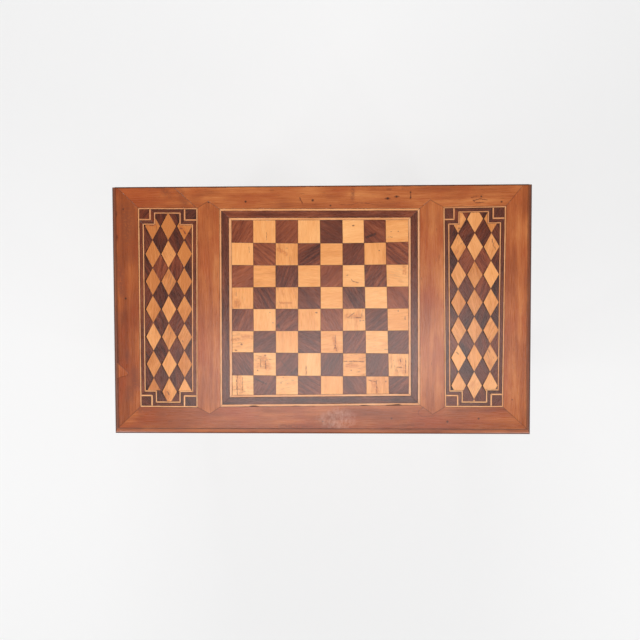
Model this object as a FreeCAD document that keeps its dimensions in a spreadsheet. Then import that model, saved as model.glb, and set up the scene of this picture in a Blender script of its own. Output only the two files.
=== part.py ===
import FreeCAD, Part
import os
import re

import Sketcher

# A games table. Its framed top holds a chessboard between two lozenge panels and stands on four tapered
# legs, with a drawer for the chessmen in the front. X runs along the front, Y to the back and Z up, in
# millimetres. The origin is on the floor under the middle of the top.

squares_per_side = 8
lozenge_columns = 3
lozenge_rows = 9
tail_count = 2
quarter_turn = 90
tolerance = 0.001
sides = (-1, 1)

driving = {
    # the whole table
    "table_height": 740,
    "top_thickness": 24,
    # chessboard, from its squares outwards
    "chess_square": 50,
    "chess_inner_string": 7,
    "chess_band": 14,
    "chess_outer_string": 5,
    # lozenge panels, from the outside inwards
    "side_panel_width": 133,
    "panel_outer_string": 2.5,
    "corner_square": 21.5,
    "corner_string": 4,
    "panel_band": 8,
    "panel_inner_string": 2.5,
    "lozenge_height": 62,
    "left_lozenge_shift": -6.5,
    "right_lozenge_shift": 10,
    # marquetry and the boards under it
    "veneer_thickness": 2,
    "veneer_joint": 0.2,
    "ground_thickness": 14,
    "tongue_depth": 6,
    "tongue_thickness": 6,
    "groove_spare": 0.5,
    # frame of the top
    "rail_width": 48,
    "end_width": 52,
    "stile_width": 54,
    "stile_point": 15,
    "stile_tenon_width": 26,
    "stile_tenon_reach": 14,
    "end_tenon_inset": 12,
    # moulded edge along the front and both ends
    "front_moulding_width": 13,
    "end_moulding_width": 8,
    "moulding_quirk": 3,
    "moulding_round": 6,
    "moulding_chamfer": 3,
    # legs and aprons
    "side_overhang": 24,
    "front_overhang": 32,
    "back_overhang": 15,
    "leg_size": 44,
    "foot_size": 26,
    "post_drop": 12,
    "apron_height": 110,
    "apron_thickness": 20,
    "apron_setback": 3,
    "tenon_thickness": 8,
    "tenon_shoulder": 14,
    "tenon_wall": 2,
    "mortise_spare": 0.5,
    "peg_radius": 3.5,
    "peg_fit": 0.05,
    "peg_tail": 5,
    "peg_spread": 26,
    # drawer rails and what carries the drawer
    "drawer_rail_height": 18,
    "rail_tenon_width": 24,
    "dovetail_neck": 18,
    "dovetail_flare": 4,
    "runner_width": 40,
    "runner_stub": 8,
    "stub_thickness": 6,
    "stub_inset": 4,
    "guide_height": 16,
    "stop_spacing": 320,
    "stop_width": 40,
    "stop_clearance": 2,
    # what holds the top down
    "screw_radius": 2,
    "screw_head_radius": 4,
    "screw_head_height": 3,
    "screw_recess": 1,
    "screw_roof": 1,
    "screw_fit": 0.05,
    "end_screw_spacing": 240,
    "front_screw_spacing": 340,
    "block_size": 18,
    "block_length": 60,
    "block_spacing": 230,
    # drawer
    "drawer_gap": 1,
    "drawer_back_room": 58,
    "front_thickness": 20,
    "side_thickness": 11,
    "back_thickness": 11,
    "back_drop": 6,
    "bottom_thickness": 7,
    "bottom_inset": 8,
    "drawer_groove": 6,
    "tail_lap": 13,
    "tail_gap": 12,
    "back_tail_gap": 6,
    "tail_flare": 3,
    # ring pulls
    "pull_spacing": 430,
    "rosette_radius": 17,
    "rosette_thickness": 2.5,
    "rosette_round": 1.5,
    "ring_radius": 14,
    "ring_wire": 1.8,
    "eye_clearance": 0.6,
    "lug_wall": 2.4,
    "lug_thickness": 6,
    "lug_seat": 0.8,
    "collar_radius": 4,
    "collar_height": 1.5,
    "shank_radius": 2.5,
    "hardware_fit": 0.05,
    "nut_width": 9,
    "nut_thickness": 4,
    "shank_tail": 1.5,
    # lock, key and escutcheon
    "lock_thickness": 10,
    "lock_wall": 2,
    "lock_spare": 2,
    "lock_cheek": 12,
    "lock_screw_radius": 1.2,
    "lock_screw_head_radius": 2.2,
    "lock_screw_head_height": 1,
    "lock_screw_bite": 4,
    "lock_screw_inset": 5,
    "bolt_travel": 8,
    "bolt_clearance": 0.3,
    "bolt_seat": 0.9,
    "bolt_side": 1.7,
    "strike_spare": 1,
    "key_drop": 26,
    "key_radius": 2.5,
    "key_reach": 25,
    "bit_thickness": 2.4,
    "bit_play": 1.4,
    "keyhole_clearance": 0.3,
    "bow_radius": 8,
    "bow_wire": 2,
    "escutcheon_width": 20,
    "escutcheon_height": 36,
    "escutcheon_thickness": 1.5,
    "escutcheon_round": 9.5,
    "pin_radius": 0.9,
    "pin_head_radius": 1.4,
    "pin_head_height": 0.5,
    "pin_wall": 2,
    "pin_inset": 3.5,
}

derived = {
    # plan of the top, from the middle of the chessboard
    "chess_field": f"{squares_per_side} * chess_square",
    "string_edge": "chess_field / 2 + chess_inner_string",
    "band_edge": "string_edge + chess_band",
    "panel_edge": "band_edge + chess_outer_string",
    "stile_outer": "panel_edge + stile_width",
    "stile_middle": "panel_edge + stile_width / 2",
    "side_panel_outer": "stile_outer + side_panel_width",
    "side_panel_middle": "stile_outer + side_panel_width / 2",
    "frame_end": "side_panel_outer + end_width",
    "frame_front": "panel_edge + rail_width",
    "top_end": "frame_end + end_moulding_width",
    "top_front": "frame_front + front_moulding_width / 2",
    "board_y": "front_moulding_width / 2",
    # heights within the top, from its surface
    "ground_low": "-veneer_thickness - ground_thickness",
    "tongue_high": "-veneer_thickness - (ground_thickness - tongue_thickness) / 2",
    "tongue_low": "tongue_high - tongue_thickness",
    "groove_depth": "tongue_depth + groove_spare",
    # stepped border of a lozenge panel
    "corner_step": "corner_square + corner_string",
    "field_inset": "panel_outer_string + panel_band + panel_inner_string",
    "lozenge_width": f"(side_panel_width - 2 * field_inset) / {lozenge_columns}",
    # legs and aprons
    "leg_height": "table_height - top_thickness",
    "leg_half": "leg_size / 2",
    "leg_x": "top_end - side_overhang - leg_half",
    "front_leg_y": "front_overhang + leg_half - top_front",
    "back_leg_y": "top_front - back_overhang - leg_half",
    "bay_x": "leg_x - leg_half",
    "bay_front": "front_leg_y + leg_half",
    "bay_back": "back_leg_y - leg_half",
    "apron_low": "leg_height - apron_height",
    "apron_middle": "leg_height - apron_height / 2",
    "post_low": "apron_low - post_drop",
    "apron_offset": "leg_half - apron_setback - apron_thickness / 2",
    "apron_x": "leg_x + apron_offset",
    "apron_inner": "apron_x - apron_thickness / 2",
    "back_apron_y": "back_leg_y + apron_offset",
    "back_apron_inner": "back_apron_y - apron_thickness / 2",
    "tenon_length": "leg_half + apron_offset - tenon_thickness / 2 - tenon_wall",
    "mortise_depth": "tenon_length + mortise_spare",
    "peg_length": "apron_setback + (apron_thickness + tenon_thickness) / 2 + peg_tail",
    "peg_bore": "peg_radius + peg_fit",
    "high_peg": "apron_middle + peg_spread",
    "low_peg": "apron_middle - peg_spread",
    # drawer opening
    "rail_front": "front_leg_y - leg_half + apron_setback",
    "rail_middle": "(rail_front + bay_front) / 2",
    "opening_low": "apron_low + drawer_rail_height",
    "opening_high": "leg_height - drawer_rail_height",
    "lower_rail_middle": "apron_low + drawer_rail_height / 2",
    "upper_rail_middle": "opening_high + drawer_rail_height / 2",
    "runner_inner": "apron_inner - runner_width",
    "stub_depth": "runner_stub + mortise_spare",
    "stop_height": "bottom_inset - stop_clearance",
    "screw_x": "(side_panel_outer + apron_inner) / 2",
    "screw_y": "(rail_front + board_y - panel_edge) / 2",
    "screw_bite": "top_thickness + tongue_low - screw_roof",
    "screw_seat": "opening_high + screw_recess + screw_head_height",
    "screw_bore": "screw_radius + screw_fit",
    # drawer
    "drawer_x": "bay_x - drawer_gap",
    "drawer_inner": "drawer_x - side_thickness",
    "front_back": "rail_front + front_thickness",
    "drawer_end": "back_apron_inner - drawer_back_room",
    "back_face": "drawer_end - back_thickness",
    "front_low": "opening_low + drawer_gap",
    "drawer_high": "opening_high - drawer_gap",
    "bottom_low": "opening_low + bottom_inset",
    "bottom_high": "bottom_low + bottom_thickness",
    "back_high": "drawer_high - back_drop",
    "front_tail_pitch": f"(drawer_high - front_low) / {tail_count}",
    "back_tail_pitch": f"(back_high - bottom_high) / {tail_count}",
    # ring pulls
    "pull_x": "pull_spacing / 2",
    "rosette_face": "rail_front - rosette_thickness",
    "collar_face": "rosette_face - collar_height",
    "eye_radius": "ring_wire + eye_clearance",
    "lug_radius": "eye_radius + lug_wall",
    "eye_y": "collar_face + lug_seat - lug_radius",
    "shank_bore": "shank_radius + hardware_fit",
    "nut_face": "front_back + nut_thickness",
    # lock
    "bit_reach": "key_radius + bolt_seat + bolt_travel - bit_play",
    "bolt_half": "bit_reach + bolt_side",
    "key_z": "drawer_high - key_drop",
    "lock_low": "key_z - bit_reach - lock_spare - lock_wall",
    "lock_front": "front_back - lock_thickness",
    "lock_half": "bolt_half + bolt_clearance + lock_cheek",
    "cavity_front": "lock_front + lock_wall",
    "cavity_back": "front_back - lock_wall",
    "bolt_front": "cavity_front + bolt_clearance",
    "bolt_back": "cavity_back - bolt_clearance",
    "bolt_low": "key_z + key_radius + bolt_seat",
    "bolt_high": "drawer_high - bolt_clearance",
    "keyhole_radius": "key_radius + keyhole_clearance",
    "slot_half": "bit_thickness / 2 + keyhole_clearance",
    "slot_low": "key_z - bit_reach - keyhole_clearance",
    "bow_y": "rail_front - key_reach + bow_radius + bow_wire",
    "lock_screw_x": "lock_half - lock_cheek / 2",
    "lock_screw_bore": "lock_screw_radius + hardware_fit",
    "escutcheon_face": "rail_front - escutcheon_thickness",
    "escutcheon_middle": "key_z - bit_reach / 2",
    "pin_rise": "escutcheon_height / 2 - pin_inset",
    "pin_bore": "pin_radius + hardware_fit",
    "pin_bite": "front_thickness - lock_thickness - pin_wall",
}

doc = FreeCAD.newDocument("games_table")
sheet_of = {}
pieces = []


def text(expression):
    """The expression with every alias written as a cell of its sheet."""
    return re.sub(r"[a-z]\w+", lambda word: f"{sheet_of[word[0]]}.{word[0]}", expression)


def write_sheet(name, cells):
    """A sheet with one aliased cell for each entry."""
    sheet = doc.addObject("Spreadsheet::Sheet", name)
    for row, (alias, content) in enumerate(cells.items(), 1):
        sheet.set(f"A{row}", alias)
        sheet.set(f"B{row}", f"={text(content)}" if isinstance(content, str) else str(content))
        sheet.setAlias(f"B{row}", alias)
        sheet_of[alias] = name
    return sheet


write_sheet("sizes", driving)
places = write_sheet("places", derived)
doc.recompute()


def number(expression):
    """The value of an expression of aliases."""
    return float(places.evalExpression(text(expression)))


def place(piece, where):
    """Bind a piece's place to three expressions."""
    for axis, expression in zip("xyz", where):
        piece.setExpression(f"Placement.Base.{axis}", text(expression))


def new_piece(kind, label, where):
    """A document object of its own label and place, which is written out as a sub-part."""
    piece = doc.addObject(kind, label)
    piece.Label = label
    place(piece, where)
    pieces.append(piece)
    return piece


def new_body(label, where=("0", "0", "0"), group=False):
    """A body for one piece, or for a group of like pieces that don't touch."""
    body = new_piece("PartDesign::Body", label, where)
    body.AllowCompound = group
    return body


def origin_feature(body, role):
    """One of the body's own origin planes or axes."""
    return next(item for item in body.Origin.OriginFeatures if item.Role == role)


def hold_point(sketch, curve, end, corner):
    """Bind one point of a curve to a pair of expressions."""
    for kind, expression in zip(("DistanceX", "DistanceY"), corner):
        index = sketch.addConstraint(Sketcher.Constraint(kind, -1, 1, curve, end, number(expression)))
        sketch.setExpression(f"Constraints[{index}]", text(expression))


def draw_outline(sketch, corners):
    """A closed outline through the corners, each a pair of expressions."""
    points = [FreeCAD.Vector(number(across), number(up), 0) for across, up in corners]
    first = sketch.GeometryCount
    for start, end in zip(points, points[1:] + points[:1]):
        sketch.addGeometry(Part.LineSegment(start, end))
    for index, corner in enumerate(corners):
        following = first + (index + 1) % len(corners)
        sketch.addConstraint(Sketcher.Constraint("Coincident", first + index, 2, following, 1))
        hold_point(sketch, first + index, 1, corner)


def draw_circle(sketch, centre, radius):
    """A circle whose centre and radius are expressions."""
    middle = FreeCAD.Vector(number(centre[0]), number(centre[1]), 0)
    curve = sketch.addGeometry(Part.Circle(middle, FreeCAD.Vector(0, 0, 1), number(radius)))
    hold_point(sketch, curve, 3, centre)
    index = sketch.addConstraint(Sketcher.Constraint("Radius", curve, number(radius)))
    sketch.setExpression(f"Constraints[{index}]", text(radius))


def extrude(kind, body, plane, span, outlines, circles):
    """Add or cut the drawn shapes over a span, low to high, along the plane's axis."""
    low, high = span
    faces_back = plane == "XZ_Plane"
    start = low if (kind == "Pad") != faces_back else high
    sketch = body.newObject("Sketcher::SketchObject", f"{body.Name}_sketch")
    sketch.AttachmentSupport = [(origin_feature(body, plane), "")]
    sketch.MapMode = "FlatFace"
    sketch.setExpression("AttachmentOffset.Base.z", text(f"-({start})" if faces_back else start))
    for corners in outlines:
        draw_outline(sketch, corners)
    for centre, radius in circles:
        draw_circle(sketch, centre, radius)
    step = body.newObject(f"PartDesign::{kind}", f"{body.Name}_{kind.lower()}")
    step.Profile = sketch
    step.setExpression("Length", text(f"({high}) - ({low})"))
    doc.recompute()
    return step


def pad(body, plane, span, outlines=(), circles=()):
    """Add material in the shape of the outlines and circles."""
    return extrude("Pad", body, plane, span, outlines, circles)


def pocket(body, plane, span, outlines=(), circles=()):
    """Cut the shape of the outlines and circles, and make sure that it cut something."""
    before = body.Shape.Volume
    step = extrude("Pocket", body, plane, span, outlines, circles)
    if body.Shape.Volume >= before - tolerance:
        raise RuntimeError(f"{step.Name} cuts nothing")
    return step


def rectangle(left, right, low, high):
    """Four corners between two pairs of expressions."""
    return [(left, low), (right, low), (right, high), (left, high)]


def centred(half_across, half_up):
    """Four corners of a rectangle about the origin."""
    return rectangle(f"-({half_across})", half_across, f"-({half_up})", half_up)


def about(middle, half):
    """The span of twice the half size about a middle."""
    return f"{middle} - ({half})", f"{middle} + ({half})"


def mirrored(side, near, far):
    """The span from near to far on one side of the middle, low to high."""
    return (near, far) if side > 0 else (f"-({far})", f"-({near})")


def turned(side, corners):
    """Corners with their first coordinate on one side of the middle."""
    return [(f"{side} * ({across})", up) for across, up in corners]


def circles_at(spots, radius):
    """Circles of one radius, an expression, at several spots."""
    return [(spot, radius) for spot in spots]


def pairs(across, up):
    """Places at plus and minus one expression, at the height or depth of another."""
    return [(f"{side} * ({across})", up) for side in sides]


def edges_at(step, **where):
    """Names of the step's edges whose ends lie at the given coordinates."""
    names = []
    for index, edge in enumerate(step.Shape.Edges, 1):
        ends = [vertex.Point for vertex in edge.Vertexes]
        misses = []
        for axis, value in where.items():
            misses += [abs(getattr(end, axis) - number(value)) for end in ends]
        if max(misses) < tolerance:
            names.append(f"Edge{index}")
    return names


def round_edges(body, step, radius, **where):
    """Round the step's edges at the given coordinates."""
    fillet = body.newObject("PartDesign::Fillet", f"{body.Name}_fillet")
    fillet.Base = (step, edges_at(step, **where))
    fillet.setExpression("Radius", text(radius))
    doc.recompute()
    return fillet


def chamfer_edges(body, step, size, **where):
    """Chamfer the step's edges at the given coordinates."""
    chamfer = body.newObject("PartDesign::Chamfer", f"{body.Name}_chamfer")
    chamfer.Base = (step, edges_at(step, **where))
    chamfer.setExpression("Size", text(size))
    doc.recompute()
    return chamfer


def repeat_over(body, originals, columns, rows):
    """Repeat steps over a grid; columns and rows are each a step and a count."""
    grid = body.newObject("PartDesign::MultiTransform", f"{body.Name}_grid")
    grid.Originals = originals
    patterns = []
    for role, (step, count) in (("X_Axis", columns), ("Y_Axis", rows)):
        pattern = body.newObject("PartDesign::LinearPattern", f"{body.Name}_pattern")
        pattern.Direction = (origin_feature(body, role), [""])
        pattern.setExpression("Length", text(f"({step}) * {count - 1}"))
        pattern.Occurrences = count
        patterns.append(pattern)
    grid.Transformations = patterns
    body.Tip = grid
    doc.recompute()


on_top = ("0", "board_y", "table_height")
top_span = ("-top_thickness", "0")
tongue_span = ("tongue_low", "tongue_high")
veneer_span = ("-veneer_thickness", "0")
pilot_span = ("-top_thickness", "screw_bite + screw_roof / 2 - top_thickness")


# Frame of the top, from the middle of the chessboard and down from the surface

def end_tenon(side, along, spare="0"):
    """Tenon of a frame end into a long rail, drawn from the panel's corner past the mitre."""
    inner, outer = mirrored(side, "side_panel_outer + end_tenon_inset", "frame_end - end_tenon_inset")
    tip = f"frame_front - end_tenon_inset + {spare}"
    return rectangle(inner, outer, *mirrored(along, "panel_edge", tip))


def stile_tenon(side, along, spare="0"):
    """Tenon of a stile past its point into a long rail."""
    left, right = about(f"{side} * stile_middle", "stile_tenon_width / 2")
    tip = f"panel_edge + stile_point + stile_tenon_reach + {spare}"
    return rectangle(left, right, *mirrored(along, "panel_edge", tip))


def top_rail(label, along):
    """Long rail of the frame: mitred ends, and a notch for the point of each stile."""
    body = new_body(label, on_top)
    near = f"{along} * panel_edge"
    notch_tip = f"{along} * (panel_edge + stile_point)"
    half = [("side_panel_outer", near), ("stile_outer", near)]
    half += [("stile_middle", notch_tip), ("panel_edge", near)]
    other_half = turned(-1, half[::-1])
    outer = f"{along} * frame_front"
    pad(body, "XY_Plane", top_span, [[("-frame_end", outer), ("frame_end", outer)] + half + other_half])
    groove = mirrored(along, "panel_edge", "panel_edge + groove_depth")
    grooves = [rectangle("-panel_edge", "panel_edge", *groove)]
    for side in sides:
        grooves.append(rectangle(*mirrored(side, "stile_outer", "side_panel_outer"), *groove))
    pocket(body, "XY_Plane", tongue_span, grooves)
    for side in sides:
        pocket(body, "XY_Plane", tongue_span, [end_tenon(side, along, "mortise_spare")])
        pocket(body, "XY_Plane", tongue_span, [stile_tenon(side, along, "mortise_spare")])
    return body


def top_end(label, side):
    """End piece of the frame: mitred to both rails, grooved for its panel and tenoned into the rails."""
    body = new_body(label, on_top)
    outline = [("frame_end", "-frame_front"), ("frame_end", "frame_front")]
    outline += [("side_panel_outer", "panel_edge"), ("side_panel_outer", "-panel_edge")]
    pad(body, "XY_Plane", top_span, [turned(side, outline)])
    pad(body, "XY_Plane", tongue_span, [end_tenon(side, along) for along in sides])
    groove = mirrored(side, "side_panel_outer", "side_panel_outer + groove_depth")
    pocket(body, "XY_Plane", tongue_span, [rectangle(*groove, "-panel_edge", "panel_edge")])
    spots = [(f"{side} * screw_x", f"{along} * end_screw_spacing / 2 - board_y") for along in sides]
    pocket(body, "XY_Plane", pilot_span, circles=circles_at(spots, "screw_bore"))


def top_stile(label, side):
    """Stile between the chessboard and a lozenge panel, with a pointed end and a tenon at each rail."""
    body = new_body(label, on_top)
    tip = "panel_edge + stile_point"
    outline = [("panel_edge", "-panel_edge"), ("stile_middle", f"-({tip})")]
    outline += [("stile_outer", "-panel_edge"), ("stile_outer", "panel_edge")]
    outline += [("stile_middle", tip), ("panel_edge", "panel_edge")]
    pad(body, "XY_Plane", top_span, [turned(side, outline)])
    pad(body, "XY_Plane", tongue_span, [stile_tenon(side, along) for along in sides])
    inner_groove = mirrored(side, "panel_edge", "panel_edge + groove_depth")
    outer_groove = mirrored(side, "stile_outer - groove_depth", "stile_outer")
    for groove in (inner_groove, outer_groove):
        pocket(body, "XY_Plane", tongue_span, [rectangle(*groove, "-panel_edge", "panel_edge")])


def ground_panel(label, middle, half_width):
    """Board under the marquetry, with a tongue along each side for the frame's grooves."""
    body = new_body(label, (middle, "board_y", "table_height"))
    pad(body, "XY_Plane", ("ground_low", "-veneer_thickness"), [centred(half_width, "panel_edge")])
    wide = f"{half_width} + tongue_depth"
    long = "panel_edge + tongue_depth"
    pad(body, "XY_Plane", tongue_span, [centred(wide, "panel_edge")])
    pad(body, "XY_Plane", tongue_span, [centred(half_width, long)])


def moulding(label, outline, **outer_edge):
    """Edge moulding: a quirk below the surface, a round and a chamfered lower edge."""
    body = new_body(label, on_top)
    step = pad(body, "XY_Plane", ("-top_thickness", "-moulding_quirk"), [outline])
    step = round_edges(body, step, "moulding_round", z="-moulding_quirk", **outer_edge)
    chamfer_edges(body, step, "moulding_chamfer", z="-top_thickness", **outer_edge)


moulding_front = "-(frame_front + front_moulding_width)"
front_rail = top_rail("top_front_rail", -1)
front_pilots = circles_at(pairs("front_screw_spacing / 2", "screw_y - board_y"), "screw_bore")
pocket(front_rail, "XY_Plane", pilot_span, circles=front_pilots)
top_rail("top_back_rail", 1)
for name, side in zip(("left", "right"), sides):
    top_end(f"top_{name}_end", side)
    top_stile(f"top_{name}_stile", side)
    ground_panel(f"{name}_ground_panel", f"{side} * side_panel_middle", "side_panel_width / 2")
    end_run = [("frame_end", "-frame_front"), ("top_end", moulding_front)]
    end_run += [("top_end", "frame_front"), ("frame_end", "frame_front")]
    moulding(f"{name}_edge_moulding", turned(side, end_run), x=f"{side} * top_end")
ground_panel("chess_ground_panel", "0", "panel_edge")
front_run = [("-frame_end", "-frame_front"), ("frame_end", "-frame_front")]
front_run += [("top_end", moulding_front), ("-top_end", moulding_front)]
moulding("front_edge_moulding", front_run, y=moulding_front)


# Marquetry, level with the frame

def chess_squares(label, first_columns):
    """Every other square of the board; a pair of start columns, one for each of the first two rows."""
    body = new_body(label, on_top, group=True)
    starts = []
    half = "(chess_square - veneer_joint) / 2"
    for row, column in enumerate(first_columns):
        across = about(f"(chess_square * {column + 0.5} - chess_field / 2)", half)
        up = about(f"(chess_square * {row + 0.5} - chess_field / 2)", half)
        starts.append(pad(body, "XY_Plane", veneer_span, [rectangle(*across, *up)]))
    every_other = ("2 * chess_square", squares_per_side // 2)
    repeat_over(body, starts, every_other, every_other)


def strip_solids(outer, inner, middle):
    """Mitred strips between two outlines of as many corners, about a middle across the table."""
    low = number("-veneer_thickness")
    shift = number(middle)
    rings = []
    for ring in (outer, inner):
        rings.append([FreeCAD.Vector(number(x) + shift, number(y), low) for x, y in ring])
    solids = []
    for index in range(len(outer)):
        following = (index + 1) % len(outer)
        corners = [rings[0][index], rings[0][following], rings[1][following], rings[1][index]]
        face = Part.Face(Part.makePolygon(corners + corners[:1]))
        solids.append(face.extrude(FreeCAD.Vector(0, 0, -low)))
    return solids


def inlay_group(label, solids):
    """A group of flat inlay pieces that touch, laid in the top."""
    piece = new_piece("Part::Feature", label, ("0", "0", "0"))
    piece.Shape = Part.makeCompound(solids)
    place(piece, on_top)


def stepped_outline(inset):
    """Outline of a lozenge panel with a square step at each corner, inset from the panel's edge."""
    wide = f"(side_panel_width / 2 - ({inset}))"
    long = f"(panel_edge - ({inset}))"
    narrow = f"({wide} - corner_step)"
    short = f"({long} - corner_step)"
    corner = [(narrow, long), (narrow, short), (wide, short)]
    right = corner + [(x, f"-{y}") for x, y in corner[::-1]]
    return right + [(f"-{x}", y) for x, y in right[::-1]]


def corner_pieces(plan, middle):
    """A flat piece in each corner of a lozenge panel, with its plan measured in from the outer string."""
    wide = number("side_panel_width / 2 - panel_outer_string")
    long = number("panel_edge - panel_outer_string")
    low = number("-veneer_thickness")
    solids = []
    for across in sides:
        for along in sides:
            corners = []
            for x, y in plan:
                spot_x = across * (wide - number(x)) + number(middle)
                corners.append(FreeCAD.Vector(spot_x, along * (long - number(y)), low))
            face = Part.Face(Part.makePolygon(corners + corners[:1]))
            solids.append(face.extrude(FreeCAD.Vector(0, 0, -low)))
    return solids


def lozenge_group(label, middle, shift, columns, rows, field):
    """Lozenges on a grid about the panel's middle, cut to the field inside its inner string."""
    grid = new_body(f"{label}_grid", (middle, "board_y", "table_height"), group=True)
    pieces.remove(grid)
    across = f"(-lozenge_width * {(columns - 1) / 2})"
    up = f"({shift} - lozenge_height * {(rows - 1) / 2})"
    half_width = "(lozenge_width / 2 - veneer_joint)"
    half_height = f"({half_width} * lozenge_height / lozenge_width)"
    lozenge = [(f"{across} - {half_width}", up), (across, f"{up} - {half_height}")]
    lozenge += [(f"{across} + {half_width}", up), (across, f"{up} + {half_height}")]
    first = pad(grid, "XY_Plane", veneer_span, [lozenge])
    repeat_over(grid, [first], ("lozenge_width", columns), ("lozenge_height", rows))
    group = new_piece("Part::Common", label, ("0", "0", "0"))
    group.Base = grid
    group.Tool = field
    doc.recompute()


chess_squares("chess_dark_squares", (1, 0))
chess_squares("chess_light_squares", (0, 1))
ring_halves = ("panel_edge", "band_edge", "string_edge", "chess_field / 2")
chess_rings = [centred(half, half) for half in ring_halves]
chess_borders = ("chess_outer_strings", "chess_bands", "chess_inner_strings")
for label, outer, inner in zip(chess_borders, chess_rings, chess_rings[1:]):
    inlay_group(label, strip_solids(outer, inner, "0"))

panel_rectangles = []
for inset in ("0", "panel_outer_string"):
    panel_rectangles.append(centred(f"side_panel_width / 2 - {inset}", f"panel_edge - {inset}"))
band_insets = ("panel_outer_string", "panel_outer_string + panel_band", "field_inset")
panel_steps = [stepped_outline(inset) for inset in band_insets]
square_plan = rectangle("0", "corner_square", "0", "corner_square")
string_plan = [("corner_square", "0"), ("corner_step", "0")]
string_plan += [("corner_step", "corner_step"), ("corner_square", "corner_square")]
outer_strings = []
corner_squares = []
bands = []
inner_strings = []
for name, side in zip(("left", "right"), sides):
    middle = f"{side} * side_panel_middle"
    corner_squares += corner_pieces(square_plan, middle)
    outer_strings += strip_solids(*panel_rectangles, middle)
    outer_strings += corner_pieces(string_plan, middle)
    outer_strings += corner_pieces([(y, x) for x, y in string_plan], middle)
    bands += strip_solids(panel_steps[0], panel_steps[1], middle)
    inner_strings += strip_solids(panel_steps[1], panel_steps[2], middle)
    field = new_body(f"{name}_lozenge_field", (middle, "board_y", "table_height"))
    pieces.remove(field)
    pad(field, "XY_Plane", veneer_span, [stepped_outline("field_inset")])
    shift = f"{name}_lozenge_shift"
    lozenge_group(f"{name}_light_lozenges", middle, shift, lozenge_columns, lozenge_rows, field)
    lozenge_group(f"{name}_dark_lozenges", middle, shift, lozenge_columns + 1, lozenge_rows - 1, field)
inlay_group("panel_outer_strings", outer_strings)
inlay_group("panel_corner_squares", corner_squares)
inlay_group("panel_bands", bands)
inlay_group("panel_inner_strings", inner_strings)


# Legs and aprons

tenon_heights = ("apron_low + tenon_shoulder", "leg_height - tenon_shoulder")
peg_heights = ("high_peg", "low_peg")
side_peg_spots = []
for middle in ("bay_front - tenon_length / 2", "bay_back + tenon_length / 2"):
    side_peg_spots += [(middle, height) for height in peg_heights]
back_peg_spots = []
for height in peg_heights:
    back_peg_spots += pairs("bay_x + tenon_length / 2", height)


def leg(label, side, along):
    """Square post that tapers to the foot, mortised for an apron on each inner face."""
    middle_y = "front_leg_y" if along < 0 else "back_leg_y"
    body = new_body(label, (f"{side} * leg_x", middle_y, "0"))
    ends = []
    for size, height in (("foot_size", "0"), ("leg_size", "post_low")):
        sketch = body.newObject("Sketcher::SketchObject", f"{label}_section")
        sketch.AttachmentSupport = [(origin_feature(body, "XY_Plane"), "")]
        sketch.MapMode = "FlatFace"
        sketch.setExpression("AttachmentOffset.Base.z", text(height))
        draw_outline(sketch, centred(f"{size} / 2", f"{size} / 2"))
        ends.append(sketch)
    taper = body.newObject("PartDesign::AdditiveLoft", f"{label}_taper")
    taper.Profile = ends[0]
    taper.Sections = ends[1:]
    doc.recompute()
    pad(body, "XY_Plane", ("post_low", "leg_height"), [centred("leg_half", "leg_half")])
    apron_span = about(f"{side} * apron_offset", "tenon_thickness / 2")
    depth = mirrored(-along, "leg_half - mortise_depth", "leg_half")
    pocket(body, "YZ_Plane", apron_span, [rectangle(*depth, *tenon_heights)])
    peg_y = f"{-along} * (leg_half - tenon_length / 2)"
    pegs = circles_at([(peg_y, height) for height in peg_heights], "peg_bore")
    pocket(body, "YZ_Plane", mirrored(side, "leg_half - peg_length", "leg_half"), circles=pegs)
    return body


for name, side in zip(("left", "right"), sides):
    front_leg = leg(f"front_{name}_leg", side, -1)
    reach = mirrored(-side, "leg_half - mortise_depth", "leg_half")
    rail_y = "(rail_middle - front_leg_y)"
    tenon = rectangle(*reach, *about(rail_y, "rail_tenon_width / 2"))
    pocket(front_leg, "XY_Plane", about("lower_rail_middle", "tenon_thickness / 2"), [tenon])
    mouth = about(rail_y, "dovetail_neck / 2")
    root = about(rail_y, "dovetail_neck / 2 + dovetail_flare")
    tail = [("leg_half", mouth[0]), ("leg_half - tenon_length", root[0])]
    tail += [("leg_half - tenon_length", root[1]), ("leg_half", mouth[1])]
    pocket(front_leg, "XY_Plane", ("opening_high", "leg_height"), [turned(-side, tail)])
    back_leg = leg(f"back_{name}_leg", side, 1)
    apron_span = about("apron_offset", "tenon_thickness / 2")
    pocket(back_leg, "XZ_Plane", apron_span, [rectangle(*reach, *tenon_heights)])
    peg_x = f"{-side} * (leg_half - tenon_length / 2)"
    pegs = circles_at([(peg_x, height) for height in peg_heights], "peg_bore")
    pocket(back_leg, "XZ_Plane", ("leg_half - peg_length", "leg_half"), circles=pegs)

board_half = ("-apron_thickness / 2", "apron_thickness / 2")
tenon_half = ("-tenon_thickness / 2", "tenon_thickness / 2")
for name, side in zip(("left", "right"), sides):
    apron = new_body(f"{name}_apron", (f"{side} * apron_x", "0", "0"))
    pad(apron, "YZ_Plane", board_half, [rectangle("bay_front", "bay_back", "apron_low", "leg_height")])
    tenons = rectangle("bay_front - tenon_length", "bay_back + tenon_length", *tenon_heights)
    pad(apron, "YZ_Plane", tenon_half, [tenons])
    pocket(apron, "YZ_Plane", tenon_half, circles=circles_at(side_peg_spots, "peg_bore"))

back_apron = new_body("back_apron", ("0", "back_apron_y", "0"))
pad(back_apron, "XZ_Plane", board_half, [rectangle("-bay_x", "bay_x", "apron_low", "leg_height")])
back_tenons = rectangle("-(bay_x + tenon_length)", "bay_x + tenon_length", *tenon_heights)
pad(back_apron, "XZ_Plane", tenon_half, [back_tenons])
pocket(back_apron, "XZ_Plane", tenon_half, circles=circles_at(back_peg_spots, "peg_bore"))

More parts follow.
